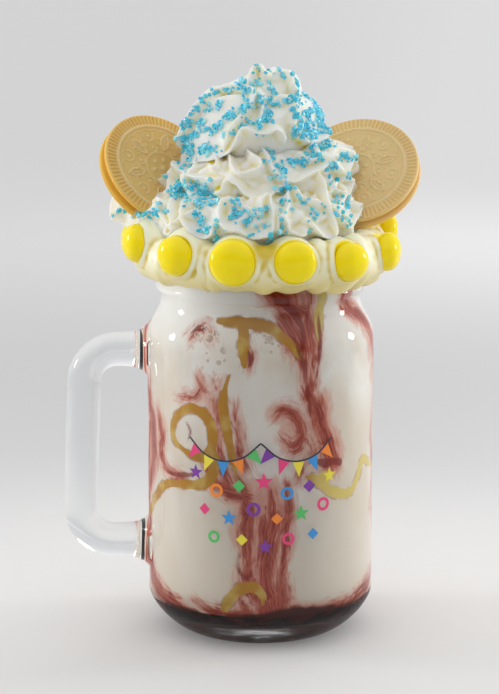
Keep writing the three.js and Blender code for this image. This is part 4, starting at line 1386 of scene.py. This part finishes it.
# Light blue sugar crystals are sprinkled over the cream from above. They lie in drifts along the crests, and
# single ones have rolled down. On the far side they lie in drifts of the same kind.
# Each drift: how many crystals, and the points that it runs through, as (x, z) in the upright plane through
# the jar's axis, as the camera sees them.
SUGAR_DRIFTS = [
    (26, [(-1.3, 200.4), (-0.6, 198.3), (1.8, 197.6), (6, 198), (9.8, 198.3), (10.1, 196.6),
          (7.4, 196.3)]),
    (8, [(-5.8, 196.3), (-6.8, 193.2), (-5.1, 193.9)]),
    (46, [(-8.5, 192.5), (-14.4, 190.4), (-18.6, 188.4), (-22, 185.6), (-24.1, 182.8), (-25.9, 180.1),
          (-26.9, 176.3)]),
    (100, [(-27.7, 172.8), (-25.6, 174.9), (-22.1, 175.6), (-18.6, 177.3), (-15.1, 178.7), (-11.7, 181.5),
           (-7.8, 183.2), (-5.1, 184.9), (-4.4, 187)]),
    (10, [(-14.4, 186.3), (-17.2, 184.9), (-19.3, 184.2)]),
    (16, [(-7.1, 190.4), (-3, 191.1), (-1.6, 192.5), (-1.6, 195.6)]),
    (36, [(0.1, 189.7), (0.8, 186.3), (1.9, 182.1), (0.5, 180.8), (2.6, 181.5)]),
    (36, [(0.8, 186.3), (3.9, 186.3), (6.7, 187), (9.8, 188), (12.6, 187.3), (14, 186.6)]),
    (10, [(3.2, 192.5), (4.6, 190.4)]),
    (90, [(11.9, 182.8), (14, 182.1), (16.8, 183.5), (18.8, 184.9), (20.2, 182.1), (20.9, 180.1),
          (16.8, 180.1), (14, 178.7), (16.1, 176.3), (17.5, 174.9), (18.2, 178)]),
    (16, [(18.1, 189), (19.5, 186.3), (21.6, 181.5)]),
    (14, [(11.9, 177), (16.1, 174.9)]),
    (70, [(23.8, 172.8), (22.4, 171.4), (19.6, 172.1), (18.2, 170), (21, 168.6), (16.8, 167.9),
          (14.1, 166.5), (12, 165.8), (9.9, 166.5)]),
    (20, [(26.2, 169.3), (28.3, 168.6), (25.6, 165.8), (22.4, 163), (26.9, 165.1), (26.3, 160.9),
          (23.9, 157.8)]),
    (26, [(2.6, 170), (3.3, 167.9), (6.1, 164.4), (8.5, 161.6), (7.8, 163), (4.7, 160.9)]),
    (10, [(8.5, 159.5), (9.9, 157.1), (7.1, 156.4)]),
    (22, [(-18.6, 172.1), (-15.9, 171.4), (-19.3, 170.7), (-15.2, 170), (-23.5, 167.9), (-27, 163.7)]),
    (20, [(-11.7, 176.3), (-7.2, 178.7), (-3.7, 180.1), (-0.9, 179.4), (0.5, 177)]),
    (100, [(-30.9, 157.8), (-27.8, 156.4), (-29.5, 159.2), (-25.7, 155), (-23.6, 157.8), (-21.5, 156.4),
           (-18.7, 157.1), (-17.3, 155), (-21.5, 153.6), (-20.1, 150.8), (-23.6, 152.2), (-27.1, 154.3),
           (-30.2, 154.3)]),
    (12, [(-17.3, 155), (-15.9, 154.3), (-17.3, 150.8)]),
    (40, [(-22.9, 148), (-20.8, 146.6), (-20.1, 143), (-18, 140.6), (-15.2, 139.9), (-16, 137.8),
          (-15.2, 145.2), (-18.7, 142)]),
    (28, [(-11, 150.8), (-8.6, 152.9), (-7.9, 150.8), (-10, 147.3), (-7.2, 148), (-8.6, 149.4)]),
    (20, [(-5.1, 144.5), (-4.4, 146.6), (-2.3, 147.3), (0.5, 147.3), (-0.2, 149.4), (1.9, 150.1)]),
    (14, [(-3.7, 139.9), (1.2, 139.9), (4, 138.8), (2.6, 144.5)]),
    (14, [(8.5, 153.6), (7.8, 150.8), (7.2, 147.3), (7.9, 141.6), (10, 142.3)]),
    (14, [(12, 155), (14.8, 153.6), (16.2, 152.2), (17.6, 149.4), (19, 148), (21.1, 150.4),
          (16.3, 140.6)]),
    (20, [(25.6, 152.9), (27.7, 152.9), (27, 153.6), (29.9, 150.8), (26.4, 148.7), (29.2, 146.6),
          (30.6, 145.2)]),
    (10, [(-50.9, 148.7), (-46, 148.3), (-40.8, 146.6), (-35.1, 151.5)]),
]
DRIFT_SPREAD = 0.8
BACK_DRIFTS = 46
CRYSTAL_HALF = (0.32, 0.66)
SUGAR_SHARE = 1.3
SUGAR_BLUE = (0.02, 0.58, 0.80, 1)
SUGAR_PALE = (0.38, 0.86, 0.95, 1)


def sugar_finish():
    finish, tree, shader = new_finish(
        "blue_sugar", Roughness=0.18, Subsurface_Weight=0.4, Subsurface_Scale=0.001, Coat_Weight=0.3
    )
    tree.links.new(blended(tree, stored(tree, "tint"), SUGAR_BLUE, SUGAR_PALE), shader.inputs["Base Color"])
    return finish


def drift_rays(chance):
    """Rays from the camera through the drifts at the front, one for each crystal: (start, direction)."""
    eye = Vector(CAMERA_PLACE) * MM
    for count, points in SUGAR_DRIFTS:
        line = smooth_path(points, 6)
        for _ in range(round(count * SUGAR_SHARE)):
            x, z = line[chance.randrange(len(line))]
            spread = DRIFT_SPREAD * chance.choice((0.8, 1.0, 1.9))
            aim = Vector((x + chance.gauss(0, spread), 0, z + chance.gauss(0, spread))) * MM
            yield eye, (aim - eye).normalized()


def back_drift_rays(chance):
    """Rays from outside towards the jar's axis, along short drifts anywhere but at the front."""
    for _ in range(BACK_DRIFTS):
        angle, height = chance.uniform(48, 312), 140 + 58 * chance.random() ** 0.85
        lean, climb = chance.uniform(-14, 14), chance.uniform(-2.5, 2.5)
        for _ in range(chance.randrange(12, 46)):
            t = chance.uniform(-1, 1)
            beside, above = chance.gauss(0, 2.2), chance.gauss(0, 1.0)
            start = around(angle + lean * t + beside, 90, height + climb * t + above + 16)
            aim = around(angle + lean * t, 0, height + climb * t - 8)
            yield start, (aim - start).normalized()


def sugar_spots(chance):
    """Where the crystals lie: (place, facing)."""
    bpy.context.view_layer.update()
    skins = [BVHTree.FromObject(piece, bpy.context.evaluated_depsgraph_get()) for piece in creams]
    spots = [landing(skins, *ray) for rays in (drift_rays, back_drift_rays) for ray in rays(chance)]
    return [spot for spot in spots if spot]


def crystal():
    """A cube with its corners cut off, 2 across, as its vertices and its faces."""
    bm = bmesh.new()
    bmesh.ops.create_cube(bm, size=2)
    bmesh.ops.bevel(bm, geom=bm.verts[:], offset=0.7, affect="VERTICES", segments=1, profile=0.5)
    bm.verts.index_update()
    verts = np.array([vert.co[:] for vert in bm.verts])
    faces = np.array([[vert.index for vert in face.verts] for face in bm.faces], dtype=object)
    bm.free()
    return verts, faces


chance = random.Random(11)
template, faces = crystal()
all_verts, all_faces, tints = [], [], []
for place, facing in sugar_spots(chance):
    half = chance.uniform(*CRYSTAL_HALF) * MM
    stretch = np.array([half * chance.uniform(0.6, 1.35) for _ in range(3)])
    axis = Vector([chance.uniform(-1, 1) for _ in range(3)]).normalized()
    turn = np.array(Matrix.Rotation(chance.uniform(0, math.tau), 3, axis))
    worn = np.array([chance.uniform(0.82, 1.1) for _ in template])
    start = len(all_verts) * len(template)
    all_verts.append((template * worn[:, None] * stretch) @ turn.T + np.array(place + facing * half * 0.35))
    all_faces += [[start + i for i in face] for face in faces]
    tints += [chance.random() ** 1.5] * len(template)
mesh = bpy.data.meshes.new("sugar_crystals")
mesh.from_pydata(np.concatenate(all_verts), [], all_faces)
mesh.materials.append(sugar_finish())
sugar = bpy.data.objects.new("sugar_crystals", mesh)
bpy.context.scene.collection.objects.link(sugar)
add_numbers(mesh, "tint", tints)
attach(sugar, "root")


# A print of coloured enamel is fired on the front of the glass: a generic garland of pennants on two swags of
# thin string, with small rings, squares and stars below it.
PRINT_RADIUS = 40.03
PRINT_THICKNESS = 0.07
PRINT_STRIPS = range(-30, 34)
PRINT_COLOURS = {
    "rose": (0.76, 0.05, 0.20, 1),
    "orange": (0.86, 0.24, 0.03, 1),
    "yellow": (0.80, 0.68, 0.05, 1),
    "green": (0.09, 0.50, 0.13, 1),
    "blue": (0.04, 0.28, 0.66, 1),
    "violet": (0.20, 0.04, 0.34, 1),
    "ink": (0.035, 0.030, 0.05, 1),
}
GARLAND_SWAGS = [
    [(-26, 75.5), (-20, 70.4), (-13, 68.4), (-6, 70), (0, 75)],
    [(0, 75), (6, 70), (13, 68.4), (20, 70.4), (26, 75.5)],
]
GARLAND_HALF = 0.3
PENNANT_HALF = 2.1
PENNANT_LENGTH = 5.6
MOTIF_SCALE = 1.2
RING_HOLE = 0.55
PENNANT_COLOURS = [
    ["rose", "yellow", "blue", "orange", "green"],
    ["violet", "rose", "yellow", "blue", "orange"],
]
SMALL_MOTIFS = [
    ("star", -23.5, 63.5, 2.4, "violet"), ("ring", -15.5, 58.0, 2.0, "orange"),
    ("square", -7.5, 60.0, 1.8, "green"), ("star", 1.0, 61.6, 2.7, "rose"),
    ("ring", 9.0, 57.4, 1.9, "blue"), ("square", 17.0, 59.4, 1.9, "violet"),
    ("star", 25.0, 62.2, 2.3, "yellow"), ("square", -20.0, 51.0, 1.7, "rose"),
    ("star", -11.0, 48.6, 2.4, "blue"), ("ring", -2.5, 52.0, 2.0, "violet"),
    ("square", 5.5, 48.6, 1.7, "orange"), ("star", 14.0, 50.0, 2.5, "green"),
    ("ring", 22.5, 52.4, 2.0, "rose"), ("ring", -16.5, 41.6, 1.8, "green"),
    ("square", -6.5, 41.2, 1.7, "yellow"), ("star", 1.5, 38.8, 2.3, "violet"),
    ("ring", 9.5, 41.4, 1.8, "rose"), ("square", 18.5, 42.4, 1.7, "blue"),
]


def enamel(name, colour):
    return new_finish("enamel_" + name, Base_Color=colour, Roughness=0.3)[0]


def add_flat(bm, outline, slot):
    """Adds a flat polygon of (x, z) in millimetres, in the plane y = 0."""
    bm.faces.new([bm.verts.new((x * MM, 0, z * MM)) for x, z in outline]).material_index = slot


def motif(kind, x, z, half):
    """The outlines of a small motif. A ring is two half rings."""
    if kind == "square":
        return [[(x - half, z), (x, z - half), (x + half, z), (x, z + half)]]
    if kind == "star":
        tips = [(math.pi / 2 + math.pi * i / 5, half * (1, 0.42)[i % 2]) for i in range(10)]
        return [[(x + reach * math.cos(t), z + reach * math.sin(t)) for t, reach in tips]]
    halves = []
    for start in (0, math.pi):
        turns = [start + math.pi * i / 14 for i in range(15)]
        outer = [(x + half * math.cos(t), z + half * math.sin(t)) for t in turns]
        hole = RING_HOLE * half
        inner = [(x + hole * math.cos(t), z + hole * math.sin(t)) for t in turns[::-1]]
        halves.append(outer + inner)
    return halves


bm = bmesh.new()
print_slots = {name: i for i, name in enumerate(PRINT_COLOURS)}
for swag, colours in zip(GARLAND_SWAGS, PENNANT_COLOURS):
    line = smooth_path(swag, 14)
    way = np.gradient(line, axis=0)
    way /= np.linalg.norm(way, axis=1)[:, None]
    side = np.stack([-way[:, 1], way[:, 0]], 1) * GARLAND_HALF
    below, above = line - side, line + side
    for i in range(len(line) - 1):
        add_flat(bm, [below[i], below[i + 1], above[i + 1], above[i]], print_slots["ink"])
    for i, colour in enumerate(colours):
        at = round((0.14 + 0.72 * i / (len(colours) - 1)) * (len(line) - 1))
        down = np.array([way[at][1], -way[at][0]])
        half, tip = way[at] * PENNANT_HALF, line[at] + down * PENNANT_LENGTH
        add_flat(bm, [line[at] - half, tip, line[at] + half], print_slots[colour])
for kind, x, z, half, colour in SMALL_MOTIFS:
    for outline in motif(kind, x, z, half * MOTIF_SCALE):
        add_flat(bm, outline, print_slots[colour])
bmesh.ops.remove_doubles(bm, verts=bm.verts, dist=1e-7)
# It is cut into upright strips a millimetre wide, so that it bends round the glass.
for i in PRINT_STRIPS:
    everything = bm.verts[:] + bm.edges[:] + bm.faces[:]
    bmesh.ops.bisect_plane(bm, geom=everything, plane_co=(i * MM, 0, 0), plane_no=(1, 0, 0))
bmesh.ops.recalc_face_normals(bm, faces=bm.faces)
bmesh.ops.solidify(bm, geom=bm.faces[:], thickness=PRINT_THICKNESS * MM)
deepest = min(v.co.y for v in bm.verts)
for vert in bm.verts:
    turn = vert.co.x / (BODY_RADIUS * MM)
    radius = PRINT_RADIUS * MM + (vert.co.y - deepest)
    vert.co = Vector((radius * math.sin(turn), -radius * math.cos(turn), vert.co.z))
bmesh.ops.recalc_face_normals(bm, faces=bm.faces)
printed = add_piece("garland_print", bm, None, smooth=False)
for name, colour in PRINT_COLOURS.items():
    printed.data.materials.append(enamel(name, colour))
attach(printed, "root")

low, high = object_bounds()
sizes = {"cad": [list(cad_low), list(cad_high)], "visual": [list(low), list(high)]}
